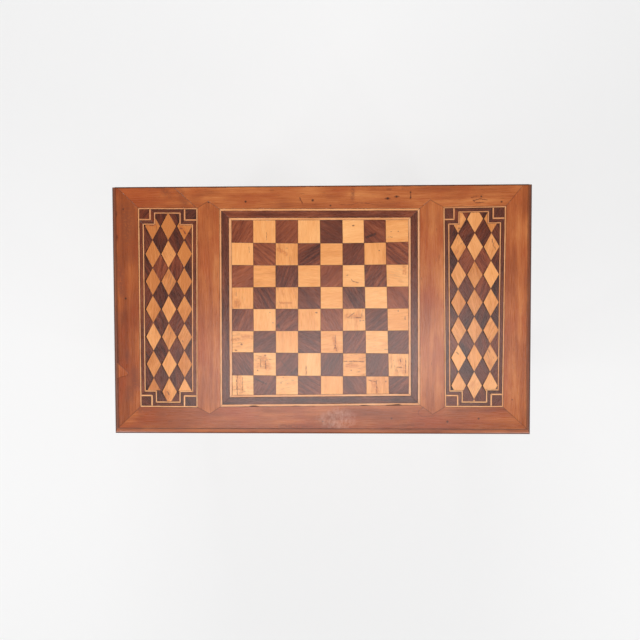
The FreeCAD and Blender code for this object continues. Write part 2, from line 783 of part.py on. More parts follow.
joint_pegs = new_body("joint_pegs", group=True)
for side in sides:
    peg_reach = mirrored(side, "leg_x + leg_half - peg_length", "leg_x + leg_half")
    pad(joint_pegs, "YZ_Plane", peg_reach, circles=circles_at(side_peg_spots, "peg_radius"))
peg_reach = ("back_leg_y + leg_half - peg_length", "back_leg_y + leg_half")
pad(joint_pegs, "XZ_Plane", peg_reach, circles=circles_at(back_peg_spots, "peg_radius"))


# Drawer rails, and what carries and guides the drawer

lower_span = ("apron_low", "opening_low")
upper_span = ("opening_high", "leg_height")


def stub_plan(side, near, far):
    """Plan of a stub tenon of a runner or tilt rail between two depths."""
    return rectangle(*mirrored(side, "runner_inner + stub_inset", "bay_x - stub_inset"), near, far)


def side_bar(label, side, span, middle):
    """Runner or tilt rail beside an apron, notched round the back leg, with a stub tenon at each end."""
    body = new_body(label)
    plan = [("runner_inner", "bay_front"), ("apron_inner", "bay_front"), ("apron_inner", "bay_back")]
    plan += [("bay_x", "bay_back"), ("bay_x", "back_apron_inner"), ("runner_inner", "back_apron_inner")]
    pad(body, "XY_Plane", span, [turned(side, plan)])
    stub = stub_plan(side, "bay_front - runner_stub", "back_apron_inner + runner_stub")
    pad(body, "XY_Plane", about(middle, "stub_thickness / 2"), [stub])
    return body


def drawer_rail(label, span, middle):
    """Rail across the front, mortised at the back for the stubs of the two bars behind it."""
    body = new_body(label)
    pad(body, "XY_Plane", span, [rectangle("-bay_x", "bay_x", "rail_front", "bay_front")])
    stubs = [stub_plan(side, "bay_front - stub_depth", "bay_front") for side in sides]
    pocket(body, "XY_Plane", about(middle, "stub_thickness / 2"), stubs)
    return body


def screw_holes(body, spots):
    """Clearance holes for the screws of the top, with room for their heads."""
    pocket(body, "XY_Plane", upper_span, circles=circles_at(spots, "screw_bore"))
    heads = circles_at(spots, "screw_head_radius + screw_fit")
    pocket(body, "XY_Plane", ("opening_high", "screw_seat"), circles=heads)


lower_rail = drawer_rail("lower_drawer_rail", lower_span, "lower_rail_middle")
tenon_depth = about("rail_middle", "rail_tenon_width / 2")
lower_tenons = [rectangle(*mirrored(side, "bay_x", "bay_x + tenon_length"), *tenon_depth) for side in sides]
pad(lower_rail, "XY_Plane", about("lower_rail_middle", "tenon_thickness / 2"), lower_tenons)

upper_rail = drawer_rail("upper_drawer_rail", upper_span, "upper_rail_middle")
neck = about("rail_middle", "dovetail_neck / 2")
flare = about("rail_middle", "dovetail_neck / 2 + dovetail_flare")
dovetail = [("bay_x", neck[0]), ("bay_x + tenon_length", flare[0])]
dovetail += [("bay_x + tenon_length", flare[1]), ("bay_x", neck[1])]
pad(upper_rail, "XY_Plane", upper_span, [turned(side, dovetail) for side in sides])
strike_depth = ("bolt_front - strike_spare", "bolt_back + strike_spare")
strike = rectangle("-bolt_half - strike_spare", "bolt_half + strike_spare", *strike_depth)
pocket(upper_rail, "XY_Plane", ("opening_high", "opening_high + bolt_travel + strike_spare"), [strike])
front_screws = pairs("front_screw_spacing / 2", "screw_y")
screw_holes(upper_rail, front_screws)

stub_mouth = ("-apron_thickness / 2", "stub_depth - apron_thickness / 2")
stub_holes = []
for middle in ("lower_rail_middle", "upper_rail_middle"):
    for side in sides:
        across = mirrored(side, "runner_inner + stub_inset", "bay_x - stub_inset")
        stub_holes.append(rectangle(*across, *about(middle, "stub_thickness / 2")))
pocket(back_apron, "XZ_Plane", stub_mouth, stub_holes)

end_screws = []
for name, side in zip(("left", "right"), sides):
    side_bar(f"{name}_drawer_runner", side, lower_span, "lower_rail_middle")
    tilt_rail = side_bar(f"{name}_tilt_rail", side, upper_span, "upper_rail_middle")
    spots = [(f"{side} * screw_x", f"{along} * end_screw_spacing / 2") for along in sides]
    screw_holes(tilt_rail, spots)
    end_screws += spots

drawer_guides = new_body("drawer_guides", group=True)
guide_plans = []
for side in sides:
    across = mirrored(side, "bay_x", "apron_inner")
    guide_plans.append(rectangle(*across, "bay_front", "bay_back"))
pad(drawer_guides, "XY_Plane", ("opening_low", "opening_low + guide_height"), guide_plans)

drawer_stops = new_body("drawer_stops", group=True)
stop_plans = []
for side in sides:
    across = about(f"{side} * stop_spacing / 2", "stop_width / 2")
    stop_plans.append(rectangle(*across, "front_back", "bay_front"))
pad(drawer_stops, "XY_Plane", ("opening_low", "opening_low + stop_height"), stop_plans)

top_screws = new_body("top_screws", group=True)
screw_spots = front_screws + end_screws
head_span = ("opening_high + screw_recess", "screw_seat")
pad(top_screws, "XY_Plane", head_span, circles=circles_at(screw_spots, "screw_head_radius"))
shank_span = ("screw_seat", "leg_height + screw_bite")
pad(top_screws, "XY_Plane", shank_span, circles=circles_at(screw_spots, "screw_radius"))

glue_blocks = new_body("glue_blocks", group=True)
block_section = [("back_apron_inner", "leg_height"), ("back_apron_inner - block_size", "leg_height")]
block_section += [("back_apron_inner", "leg_height - block_size")]
for turn in (-1, 0, 1):
    pad(glue_blocks, "YZ_Plane", about(f"{turn} * block_spacing", "block_length / 2"), [block_section])


# Drawer

def front_tails():
    """Half-blind tails of a drawer side, let into the back of the drawer front."""
    tails = []
    for turn in range(tail_count):
        middle = f"(front_low + front_tail_pitch * {turn + 0.5})"
        tip = about(middle, "(front_tail_pitch - tail_gap) / 2")
        shoulder = about(middle, "(front_tail_pitch - tail_gap) / 2 - tail_flare")
        tail = [("front_back", shoulder[0]), ("front_back - tail_lap", tip[0])]
        tail += [("front_back - tail_lap", tip[1]), ("front_back", shoulder[1])]
        tails.append(tail)
    return tails


def back_pins():
    """Pins of the drawer back, between the two tails of a side."""
    edges = [("bottom_high", "bottom_high")]
    for turn in range(tail_count):
        middle = f"(bottom_high + back_tail_pitch * {turn + 0.5})"
        tip = about(middle, "(back_tail_pitch - back_tail_gap) / 2")
        shoulder = about(middle, "(back_tail_pitch - back_tail_gap) / 2 - tail_flare")
        edges += list(zip(shoulder, tip))
    edges.append(("back_high", "back_high"))
    pins = []
    for low, high in zip(edges[::2], edges[1::2]):
        pin = [("back_face", low[0]), ("drawer_end", low[1])]
        pin += [("drawer_end", high[1]), ("back_face", high[0])]
        pins.append(pin)
    return pins


def keyhole(body, span):
    """Keyhole through a plate: a round hole with a slot below it for the bit."""
    pocket(body, "XZ_Plane", span, circles=[(("0", "key_z"), "keyhole_radius")])
    pocket(body, "XZ_Plane", span, [rectangle("-slot_half", "slot_half", "slot_low", "key_z")])


lock_screw_spots = []
for height in ("lock_low + lock_screw_inset", "drawer_high - lock_screw_inset"):
    lock_screw_spots += pairs("lock_screw_x", height)
pin_spots = [("0", height) for height in about("escutcheon_middle", "pin_rise")]
pull_spots = pairs("pull_x", "apron_middle")

drawer_front = new_body("drawer_front")
front_plan = rectangle("-drawer_x", "drawer_x", "rail_front", "front_back")
pad(drawer_front, "XY_Plane", ("front_low", "drawer_high"), [front_plan])
for side in sides:
    pocket(drawer_front, "YZ_Plane", mirrored(side, "drawer_inner", "drawer_x"), front_tails())
bottom_groove = rectangle("-drawer_inner", "drawer_inner", "front_back - drawer_groove", "front_back")
pocket(drawer_front, "XY_Plane", ("bottom_low", "bottom_high"), [bottom_groove])
case_outline = rectangle("-lock_half", "lock_half", "lock_low", "drawer_high")
pocket(drawer_front, "XZ_Plane", ("lock_front", "front_back"), [case_outline])
keyhole(drawer_front, ("rail_front", "lock_front"))
pull_bores = circles_at(pull_spots, "shank_bore")
pocket(drawer_front, "XZ_Plane", ("rail_front", "front_back"), circles=pull_bores)
screw_end = ("lock_front - lock_screw_bite - mortise_spare", "lock_front")
lock_screw_bores = circles_at(lock_screw_spots, "lock_screw_bore")
pocket(drawer_front, "XZ_Plane", screw_end, circles=lock_screw_bores)
pin_end = ("rail_front", "rail_front + pin_bite + mortise_spare")
pin_bores = circles_at(pin_spots, "pin_bore")
pocket(drawer_front, "XZ_Plane", pin_end, circles=pin_bores)

for name, side in zip(("left", "right"), sides):
    drawer_side = new_body(f"drawer_{name}_side")
    width = mirrored(side, "drawer_inner", "drawer_x")
    board = rectangle("front_back", "drawer_end", "opening_low", "drawer_high")
    pad(drawer_side, "YZ_Plane", width, [board])
    pad(drawer_side, "YZ_Plane", width, front_tails())
    pocket(drawer_side, "YZ_Plane", width, back_pins())
    groove_span = mirrored(side, "drawer_inner", "drawer_inner + drawer_groove")
    groove = rectangle("front_back", "drawer_end", "bottom_low", "bottom_high")
    pocket(drawer_side, "YZ_Plane", groove_span, [groove])

drawer_back = new_body("drawer_back")
back_board = rectangle("-drawer_inner", "drawer_inner", "bottom_high", "back_high")
pad(drawer_back, "XZ_Plane", ("back_face", "drawer_end"), [back_board])
for side in sides:
    pad(drawer_back, "YZ_Plane", mirrored(side, "drawer_inner", "drawer_x"), back_pins())

drawer_bottom = new_body("drawer_bottom")
bottom_half = [("drawer_inner - groove_spare", "front_back - drawer_groove + groove_spare")]
bottom_half += [("drawer_inner - groove_spare", "front_back")]
bottom_half += [("drawer_inner + drawer_groove - groove_spare", "front_back")]
bottom_half += [("drawer_inner + drawer_groove - groove_spare", "drawer_end")]
bottom_plan = bottom_half + turned(-1, bottom_half[::-1])
pad(drawer_bottom, "XY_Plane", ("bottom_low", "bottom_high"), [bottom_plan])


# Ring pulls

pull_rosettes = new_body("pull_rosettes", group=True)
discs = circles_at(pull_spots, "rosette_radius")
rosette = pad(pull_rosettes, "XZ_Plane", ("rosette_face", "rail_front"), circles=discs)
round_edges(pull_rosettes, rosette, "rosette_round", y="rosette_face")
pocket(pull_rosettes, "XZ_Plane", ("rosette_face", "rail_front"), circles=pull_bores)

pull_posts = new_body("pull_posts", group=True)
shanks = circles_at(pull_spots, "shank_radius")
pad(pull_posts, "XZ_Plane", ("collar_face", "nut_face + shank_tail"), circles=shanks)
collars = circles_at(pull_spots, "collar_radius")
pad(pull_posts, "XZ_Plane", ("collar_face", "rosette_face"), circles=collars)
eye_place = ("eye_y", "apron_middle")
for side in sides:
    lug = about(f"{side} * pull_x", "lug_thickness / 2")
    pad(pull_posts, "YZ_Plane", lug, circles=[(eye_place, "lug_radius")])
for side in sides:
    lug = about(f"{side} * pull_x", "lug_thickness / 2")
    pocket(pull_posts, "YZ_Plane", lug, circles=[(eye_place, "eye_radius")])

pull_nuts = new_body("pull_nuts", group=True)
nut_outlines = []
for side in sides:
    across = about(f"{side} * pull_x", "nut_width / 2")
    nut_outlines.append(rectangle(*across, *about("apron_middle", "nut_width / 2")))
pad(pull_nuts, "XZ_Plane", ("front_back", "nut_face"), nut_outlines, pull_bores)

for name, side in zip(("left", "right"), sides):
    ring = new_piece("Part::Torus", f"{name}_pull_ring", ("0", "0", "0"))
    upright = FreeCAD.Rotation(FreeCAD.Vector(1, 0, 0), quarter_turn)
    ring.Placement = FreeCAD.Placement(FreeCAD.Vector(), upright)
    place(ring, (f"{side} * pull_x", "eye_y", "apron_middle - ring_radius"))
    ring.setExpression("Radius1", text("ring_radius"))
    ring.setExpression("Radius2", text("ring_wire"))


# Lock, key and escutcheon

lock_case = new_body("lock_case")
pad(lock_case, "XZ_Plane", ("lock_front", "front_back"), [case_outline])
cavity_half = "bolt_half + bolt_clearance"
cavity = rectangle(f"-({cavity_half})", cavity_half, "cavity_front", "cavity_back")
pocket(lock_case, "XY_Plane", ("lock_low + lock_wall", "drawer_high"), [cavity])
keyhole(lock_case, ("lock_front", "cavity_front"))
pocket(lock_case, "XZ_Plane", ("lock_front", "front_back"), circles=lock_screw_bores)

lock_screws = new_body("lock_screws", group=True)
lock_shanks = circles_at(lock_screw_spots, "lock_screw_radius")
pad(lock_screws, "XZ_Plane", ("lock_front - lock_screw_bite", "front_back"), circles=lock_shanks)
lock_heads = circles_at(lock_screw_spots, "lock_screw_head_radius")
pad(lock_screws, "XZ_Plane", ("front_back", "front_back + lock_screw_head_height"), circles=lock_heads)

lock_bolt = new_body("lock_bolt")
bolt_outline = rectangle("-bolt_half", "bolt_half", "bolt_low", "bolt_high")
pad(lock_bolt, "XZ_Plane", ("bolt_front", "bolt_back"), [bolt_outline])

key = new_body("key")
pad(key, "XZ_Plane", ("bow_y + bow_radius", "bolt_back"), circles=[(("0", "key_z"), "key_radius")])
bit = rectangle("-bit_thickness / 2", "bit_thickness / 2", "key_z - bit_reach", "key_z")
pad(key, "XZ_Plane", ("bolt_front", "bolt_back"), [bit])
bow = key.newObject("PartDesign::AdditiveTorus", "key_bow")
bow.AttachmentSupport = [(origin_feature(key, "YZ_Plane"), "")]
bow.MapMode = "FlatFace"
bow.setExpression("AttachmentOffset.Base.x", text("bow_y"))
bow.setExpression("AttachmentOffset.Base.y", text("key_z"))
bow.setExpression("Radius1", text("bow_radius"))
bow.setExpression("Radius2", text("bow_wire"))
doc.recompute()

escutcheon = new_body("keyhole_escutcheon")
across = ("-escutcheon_width / 2", "escutcheon_width / 2")
up = about("escutcheon_middle", "escutcheon_height / 2")
plate = pad(escutcheon, "XZ_Plane", ("escutcheon_face", "rail_front"), [rectangle(*across, *up)])
corner_edges = []
for x in across:
    for z in up:
        corner_edges += edges_at(plate, x=x, z=z)
corner_fillet = escutcheon.newObject("PartDesign::Fillet", "escutcheon_corners")
corner_fillet.Base = (plate, corner_edges)
corner_fillet.setExpression("Radius", text("escutcheon_round"))
doc.recompute()
keyhole(escutcheon, ("escutcheon_face", "rail_front"))
pocket(escutcheon, "XZ_Plane", ("escutcheon_face", "rail_front"), circles=pin_bores)

escutcheon_pins = new_body("escutcheon_pins", group=True)
pin_span = ("escutcheon_face", "rail_front + pin_bite")
pad(escutcheon_pins, "XZ_Plane", pin_span, circles=circles_at(pin_spots, "pin_radius"))
pin_heads = ("escutcheon_face - pin_head_height", "escutcheon_face")
pad(escutcheon_pins, "XZ_Plane", pin_heads, circles=circles_at(pin_spots, "pin_head_radius"))


# Every object has to be sound before anything is written

doc.recompute()
for item in doc.Objects:
    faults = [state for state in item.State if state in ("Invalid", "Error")]
    if faults:
        raise RuntimeError(f"{item.Label}: {faults}")
for piece in pieces:
    if piece.Shape.isNull() or not piece.Shape.isValid():
        raise RuntimeError(f"{piece.Label} has no valid shape")

os.makedirs("parts", exist_ok=True)
for piece in pieces:
    piece.Shape.exportStep(f"parts/{piece.Label}.step")
    print(piece.Label, len(piece.Shape.Solids), round(piece.Shape.Volume, 1))
print(len(pieces), "sub-parts")
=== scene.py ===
import bmesh
import bpy
import math
import random
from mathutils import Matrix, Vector


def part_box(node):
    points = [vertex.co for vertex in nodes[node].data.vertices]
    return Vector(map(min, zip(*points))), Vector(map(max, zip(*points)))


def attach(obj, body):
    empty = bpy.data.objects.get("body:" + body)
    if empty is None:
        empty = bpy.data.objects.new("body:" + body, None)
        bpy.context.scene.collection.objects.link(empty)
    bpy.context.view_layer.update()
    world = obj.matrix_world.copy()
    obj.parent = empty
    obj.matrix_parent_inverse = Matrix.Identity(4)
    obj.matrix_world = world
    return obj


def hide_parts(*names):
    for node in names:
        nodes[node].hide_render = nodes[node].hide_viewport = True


# A games table, mostly seen from above: a chessboard between two lozenge panels in a cherry frame.
# X runs along the front, Y to the back and Z up, in metres.

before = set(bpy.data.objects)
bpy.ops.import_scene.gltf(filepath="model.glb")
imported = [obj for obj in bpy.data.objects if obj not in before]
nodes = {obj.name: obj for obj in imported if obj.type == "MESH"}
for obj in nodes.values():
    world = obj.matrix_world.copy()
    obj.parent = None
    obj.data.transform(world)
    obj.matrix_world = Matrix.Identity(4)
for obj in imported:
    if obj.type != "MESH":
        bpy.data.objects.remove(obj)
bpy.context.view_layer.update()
mm = 0.001
touching = 0.01 * mm  # places nearer than this are one
chance = random.Random(1866)  # every uneven cut and shade is drawn from here
print("frame loaded:", len(nodes), "nodes")


def spanOf(node):  # its middle and half sizes
    low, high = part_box(node)
    return (low + high) / 2, (high - low) / 2


# Shader nodes as Python expressions

def mathSign(operation, reflected=False):
    def joined(one, other):
        values = (other, one) if reflected else (one, other)
        return one.finish.math(operation, *values)
    return joined


class Wire:  # one output socket; operators on it add Math nodes
    def __init__(self, finish, socket):
        self.finish = finish
        self.socket = socket

    __add__ = __radd__ = mathSign("ADD")
    __mul__ = __rmul__ = mathSign("MULTIPLY")
    __sub__ = mathSign("SUBTRACT")
    __rsub__ = mathSign("SUBTRACT", True)
    __pow__ = mathSign("POWER")

    def __abs__(self):
        return self.finish.math("ABSOLUTE", self)


class Finish:  # one material and the nodes that make it
    def __init__(self, name, look=None):
        self.look = look
        self.material = bpy.data.materials.new(name)
        self.material.use_nodes = True
        self.tree = self.material.node_tree
        self.shader = self.tree.nodes["Principled BSDF"]

    def feed(self, socket, value):
        if isinstance(value, Wire):
            self.tree.links.new(value.socket, socket)
        else:
            socket.default_value = value

    def add(self, kind, settings=None, sockets=None, out=0):
        node = self.tree.nodes.new("ShaderNode" + kind)
        for name, value in (settings or {}).items():
            if name == "stops":
                self.setStops(node.color_ramp.elements, value)
            else:
                setattr(node, name, value)
        for key, value in (sockets or {}).items():
            self.feed(node.inputs[key], value)
        return Wire(self, node.outputs[out])

    def setStops(self, elements, stops):
        while len(elements) < len(stops):
            elements.new(1.0)
        for element, (place, colour) in zip(elements, stops):
            element.position = place
            element.color = colour

    def math(self, operation, *values):
        return self.add("Math", {"operation": operation}, dict(enumerate(values)))

    def most(self, one, other):
        return self.math("MAXIMUM", one, other)

    def point(self, x, y, z=0.0):
        return self.add("CombineXYZ", None, {0: x, 1: y, 2: z})

    def spot(self):  # the place on the piece, in its own frame
        return self.add("TexCoord", None, None, "Object")

    def split(self, vector):
        first = self.add("SeparateXYZ", None, {0: vector})
        return [Wire(self, output) for output in first.socket.node.outputs]

    def noise(self, x, y, z=0.0, detail=3.0, rough=0.55):
        sockets = {"Vector": self.point(x, y, z), "Scale": 1.0, "Detail": detail, "Roughness": rough}
        return self.add("TexNoise", None, sockets)

    def patches(self, low, high, *waves):  # where a noise rises from low to high
        return self.window(self.noise(*waves), low, high)

    def cells(self, x, y):
        return self.add("TexVoronoi", None, {"Vector": self.point(x, y), "Scale": 1.0}, "Distance")

    def window(self, value, low, high):  # 0 at low and 1 at high, eased between
        settings = {"interpolation_type": "SMOOTHSTEP"}
        return self.add("MapRange", settings, {"Value": value, "From Min": low, "From Max": high})

    def shade(self, value, shades="shades"):
        return self.add("ValToRGB", {"stops": self.look[shades]}, {0: value})

    def mix(self, factor, one, other):
        return self.add("Mix", {"data_type": "RGBA"}, {0: factor, 6: one, 7: other}, 2)

    def tint(self, share, tone):  # lay a tone of the look over the colour so far
        self.colour = self.mix(share, self.colour, self.look[tone])

    def vector(self, operation, one, other, out=0):
        return self.add("VectorMath", {"operation": operation}, {0: one, 1: other}, out)

    def stretch(self, direction, share):
        return self.add("VectorMath", {"operation": "SCALE"}, {0: direction, "Scale": share})

    def bump(self, height, strength, reach):  # reach in millimetres
        return self.add("Bump", None, {"Strength": strength, "Distance": reach * mm, "Height": height})

    def wear(self, rough, normal=None, **fixed):  # fixed: the shader's constant sockets
        self.feed(self.shader.inputs["Base Color"], self.colour)
        self.feed(self.shader.inputs["Roughness"], rough)
        if normal:
            self.feed(self.shader.inputs["Normal"], normal)
        for name, value in fixed.items():
            self.shader.inputs[name.replace("_", " ")].default_value = value
        return self.material


def hexTone(red, green, blue):  # a colour as seen, 0 to 255, to the light that it stands for
    shades = [value / 255 for value in (red, green, blue)]
    light = [shade / 12.92 if shade < 0.04 else ((shade + 0.055) / 1.055) ** 2.4 for shade in shades]
    return (*light, 1.0)


def shadesOf(*stops):  # a ramp's stops, each a place and a colour as seen
    return [(place, hexTone(*colour)) for place, *colour in stops]


waxed = {"Specular_IOR_Level": 0.7}  # old wax, with more gloss than bare wood


# Woods: each has its figure in waves per metre along and across the grain, its shades and its stains, and
# cherry also the tone of a painted reflection

cherryLook = {
    "sway": (3.0, 9.0), "swayReach": 0.022, "streak": (3.5, 75.0),
    "fibre": (26.0, 1000.0), "cloud": (8.0, 20.0),
    "shades": shadesOf((0.0, 126, 58, 26), (0.4, 158, 80, 38), (0.7, 182, 100, 50), (1.0, 204, 124, 68)),
    "blush": hexTone(160, 66, 28), "stain": hexTone(104, 44, 22), "deepBrown": hexTone(58, 26, 14),
    # the pale tone at the end of the next line paints a reflection on the front rail
    "wormHole": hexTone(44, 20, 14), "sheenTone": hexTone(224, 188, 174),
}
mapleLook = {
    "sway": (9.0, 22.0), "swayReach": 0.006, "streak": (8.0, 150.0),
    "fibre": (50.0, 1100.0), "cloud": (14.0, 34.0),
    "shades": shadesOf((0.0, 200, 120, 58), (0.45, 236, 158, 90), (1.0, 253, 186, 120)),
    "peachShades": shadesOf((0.0, 172, 102, 60), (0.5, 212, 142, 94), (1.0, 240, 180, 134)),
    "stain": hexTone(186, 96, 42), "deepBrown": hexTone(94, 36, 12),
}
walnutLook = {
    "sway": (9.0, 20.0), "swayReach": 0.014, "streak": (13.0, 150.0),
    "fibre": (70.0, 1300.0), "cloud": (14.0, 30.0),
    "shades": shadesOf((0.0, 70, 27, 13), (0.45, 118, 52, 27), (1.0, 164, 86, 50)),
    "dullShades": shadesOf((0.0, 54, 25, 17), (0.5, 100, 49, 32), (1.0, 140, 78, 54)),
    "deepBrown": hexTone(48, 24, 17),
}
pineLook = {
    "sway": (3.0, 10.0), "swayReach": 0.016, "streak": (2.0, 120.0),
    "fibre": (30.0, 900.0), "cloud": (3.0, 9.0),
    "shades": shadesOf((0.0, 140, 92, 50), (0.5, 176, 126, 76), (1.0, 196, 148, 96)),
    "deepBrown": hexTone(70, 42, 24), "glue": hexTone(46, 25, 17),
}


def figureOf(finish, along, across, depth=0.0):  # streaks, fibres and clouds
    def waves(kind, side, *detail):
        longways, sideways = finish.look[kind]
        return finish.noise(along * longways, side * sideways, depth * sideways, *detail)

    bent = across + (waves("sway", across) - 0.5) * finish.look["swayReach"]
    figure = (waves("streak", bent, 5.0, 0.62), waves("fibre", bent), waves("cloud", across))
    return [finish.window(wave, 0.27, 0.73) for wave in figure]


def solidWood(name, axis, look):  # for a piece cut along one axis: its finish, grain and figure
    finish = Finish(name, look)
    x, y, z = finish.split(finish.spot())
    grain = {"X": (x, y, z), "Y": (y, x, z), "Z": (z, x, y)}[axis]
    return finish, grain, figureOf(finish, *grain)


def inlayWood(name, look):  # the same for inlay, which keeps its grain, draws and edge with each piece
    finish = Finish(name, look)
    along, across, _ = finish.split(finish.add("UVMap", {"uv_map": "grain"}))
    draws = finish.split(finish.add("Attribute", {"attribute_name": "draw"}, None, "Vector"))
    edge = finish.add("Attribute", {"attribute_name": "edge"}, None, "Fac")
    return finish, (along, across), draws, edge, figureOf(finish, along, across)


def cherryWood(name, axis):
    finish, (along, across, depth), (streak, fibre, cloud) = solidWood(name, axis, cherryLook)
    finish.colour = finish.shade(streak * 0.40 + cloud * 0.34 + fibre * 0.12 + 0.12)
    fleck = finish.patches(0.66, 0.72, along * 60, across * 420, depth * 420)
    finish.tint(fleck * 0.5, "deepBrown")
    worn = finish.patches(0.52, 0.72, along * 7, across * 30, depth * 30, 5.0)
    finish.tint(worn * 0.35, "stain")
    normal = finish.bump(fibre + streak * 0.4, 0.12, 0.4)
    return finish.wear(0.32 + fibre * 0.08 + worn * 0.12, normal, **waxed)


def pineWood(name, axis):
    finish, (along, across, depth), (streak, fibre, cloud) = solidWood(name, axis, pineLook)
    rings = finish.math("SINE", (across + depth * 0.6 + (cloud - 0.5) * 0.05) * 900)
    finish.colour = finish.shade(streak * 0.5 + cloud * 0.3 + fibre * 0.15 + rings * 0.06)
    dirt = finish.patches(0.50, 0.74, along * 9, across * 14, depth * 14, 5.0)
    finish.tint(dirt * 0.45, "deepBrown")
    return finish.wear(0.62 + fibre * 0.12, finish.bump(fibre + streak * 0.5, 0.18, 0.5))


def groundWood(name):  # pine below, dark with old glue where the inlay is laid
    finish, (_, _, depth), (streak, fibre, cloud) = solidWood(name, "X", pineLook)
    finish.colour = finish.shade(streak * 0.6 + cloud * 0.4)
    finish.tint(finish.window(depth, glueLine - 0.5 * mm, glueLine), "glue")
    return finish.wear(0.66 + fibre * 0.1, finish.bump(fibre, 0.15, 0.4))


mouldedEdge = {
    "rag": 1.6, "quirk": (2.6, 0.8),  # painted shade and old wax in the quirk: where it ends and where it is full
    "arrisShade": 2.5, "arrisShadeDepth": (15, 8),  # how fast the painted shade comes on the arris, and how far down it reaches
}


def mouldedCherry(name, axis, edge, outward, arrisShade, tone):  # the argument before the tone: where the painted shade on the outer arris starts
    finish, (along, across, depth), (streak, fibre, cloud) = solidWood(name, axis, cherryLook)
    finish.colour = finish.shade(streak * 0.30 + cloud * 0.30 + fibre * 0.15 + tone)
    rag = (finish.noise(along * 70, 0.5) - 0.5) * mouldedEdge["rag"] * mm
    away = (across - edge) * outward + rag
    # painted shade: the quirk is darkened for its shade and for old wax, and the steep outer arris for the
    # shade it turns into
    quirk = finish.window(away, *[size * mm for size in mouldedEdge["quirk"]])
    outer = finish.window(away, arrisShade * mm, (arrisShade + mouldedEdge["arrisShade"]) * mm)
    outer = outer * finish.window(depth, *[topSurface - size * mm for size in mouldedEdge["arrisShadeDepth"]])
    finish.tint(finish.most(quirk * 0.75, outer * 0.85), "deepBrown")
    worn = finish.patches(0.50, 0.68, along * 24, across * 90, depth * 90, 5.0)
    finish.tint(worn * 0.35, "stain")
    normal = finish.bump(fibre + streak * 0.4, 0.12, 0.4)
    return finish.wear(0.32 + fibre * 0.08 + quirk * 0.2 + outer * 0.4, normal, **waxed)


# Marks of use, painted shade and a painted reflection on the top, in millimetres from its middle

def spots(finish, places, rim):  # round dark holes, each at x, y with its size
    spot = finish.spot()
    found = 0.0
    for x, y, size in places:
        away = finish.vector("DISTANCE", spot, (x * mm, y * mm, topSurface), "Value")
        found = finish.most(found, finish.window(away, (size + rim) * mm, size * 0.45 * mm))
    return found


def scars(finish, marks, sharp=0.5):  # ragged lines, each from x, y to x, y at a half width
    x, y, _ = finish.split(finish.spot())
    strayX, strayY = [(finish.noise(x * 170, y * 170, seed) - 0.5) * 4 * mm for seed in (0.0, 6.0)]
    spot = finish.point(x + strayX, y + strayY)
    found = 0.0
    for startX, startY, endX, endY, width in marks:
        start = Vector((startX, startY, 0)) * mm
        run = Vector((endX, endY, 0)) * mm - start
        reach = finish.vector("SUBTRACT", spot, start)
        share = finish.vector("DOT_PRODUCT", reach, run / run.length_squared, "Value")
        nearest = finish.stretch(run, finish.add("Clamp", None, {0: share}))
        away = finish.vector("DISTANCE", reach, nearest, "Value")
        found = finish.most(found, finish.window(away, width * 1.7 * mm, width * sharp * mm))
    return found * finish.patches(0.30, 0.52, x * 230, y * 230, 3.0)


boardMarksAndLight = {
    "holes": [
        (151, 251, 2.8), (171, 255, 2.4), (-17, 248, 2.6), (23, 236, 1.6), (404, 242, 1.8),
        (-168, 246, 2.2), (202, 264, 1.4), (359, 254, 1.6), (202, 253, 1.2), (-252, 245, 1.3),
        (286, -251, 2.4), (356, -244, 2.0), (160, -244, 1.6), (4, -251, 1.0), (-443, 29, 2.2),
        (-446, 231, 1.2), (431, -201, 1.0),
    ],
    "tracks": [
        (44, 238, 70, 237, 0.9), (70, 237, 85, 242, 0.8), (85, 242, 110, 240, 0.9),
        (110, 240, 130, 236, 0.7), (130, 236, 178, 241, 0.9), (337, 252, 349, 254, 1.0),
        (342, 245, 356, 249, 1.1), (356, 249, 372, 246, 0.9), (347, 240, 366, 241, 1.1),
        (341, 246, 345, 241, 0.9), (146, 251, 156, 251, 1.6), (167, 255, 176, 255, 1.4),
        (150, 271, 158, 271, 2.0), (310, -226, 316, -226, 1.4), (-46, 254, -38, 236, 1.0),
        (-461, 224, -461, 216, 1.5), (-461, 172, -461, 162, 1.6), (202, 269, 202, 250, 1.2),
        (233, -218, 220, -229, 0.8), (220, -229, 222, -237, 0.8), (222, -237, 233, -240, 0.8),
        (233, -240, 255, -238, 0.7),
    ],
    "knots": [  # dark and soft
        (-430, -140, -424, -166, 14), (-440, -200, -436, -176, 10), (-412, -226, -350, -227, 7),
        (-316, 266, -306, 244, 9), (-352, 270, -340, 262, 8), (-90, -262, 20, -264, 6),
        (230, 274, 420, 278, 6), (150, -262, 230, -258, 6), (-458, 120, -452, 40, 9),
        (-440, 230, -436, 130, 20), (-400, -248, -310, -252, 16), (73, 272, 72, 248, 4),
    ],
    "holeRim": 1.4,  # how far a hole's dark runs out
    "paintedSheen": (36, -246, 52, 30),  # middle and half widths of the painted reflection on the front rail
    "backEdge": (3.6, 1.6), "endEdge": (4.5, 3.0),  # where the painted shade and grime along the outer edges starts and is full
    "edgeDepth": (5.0, 2.0), "rag": 3.0,  # how far down it reaches, and how ragged it is
}


# a painted reflection: a pale, cloudy patch on the front rail where the polish catches the light
def sheenPatch(finish):
    x, y, _ = finish.split(finish.spot())
    midX, midY, halfX, halfY = [size * mm for size in boardMarksAndLight["paintedSheen"]]
    ring = ((x - midX) * (1 / halfX)) ** 2 + ((y - midY) * (1 / halfY)) ** 2
    return finish.window(ring, 1.0, 0.0) * finish.patches(0.34, 0.72, x * 110, y * 80, 0.0, 4.0, 0.65)


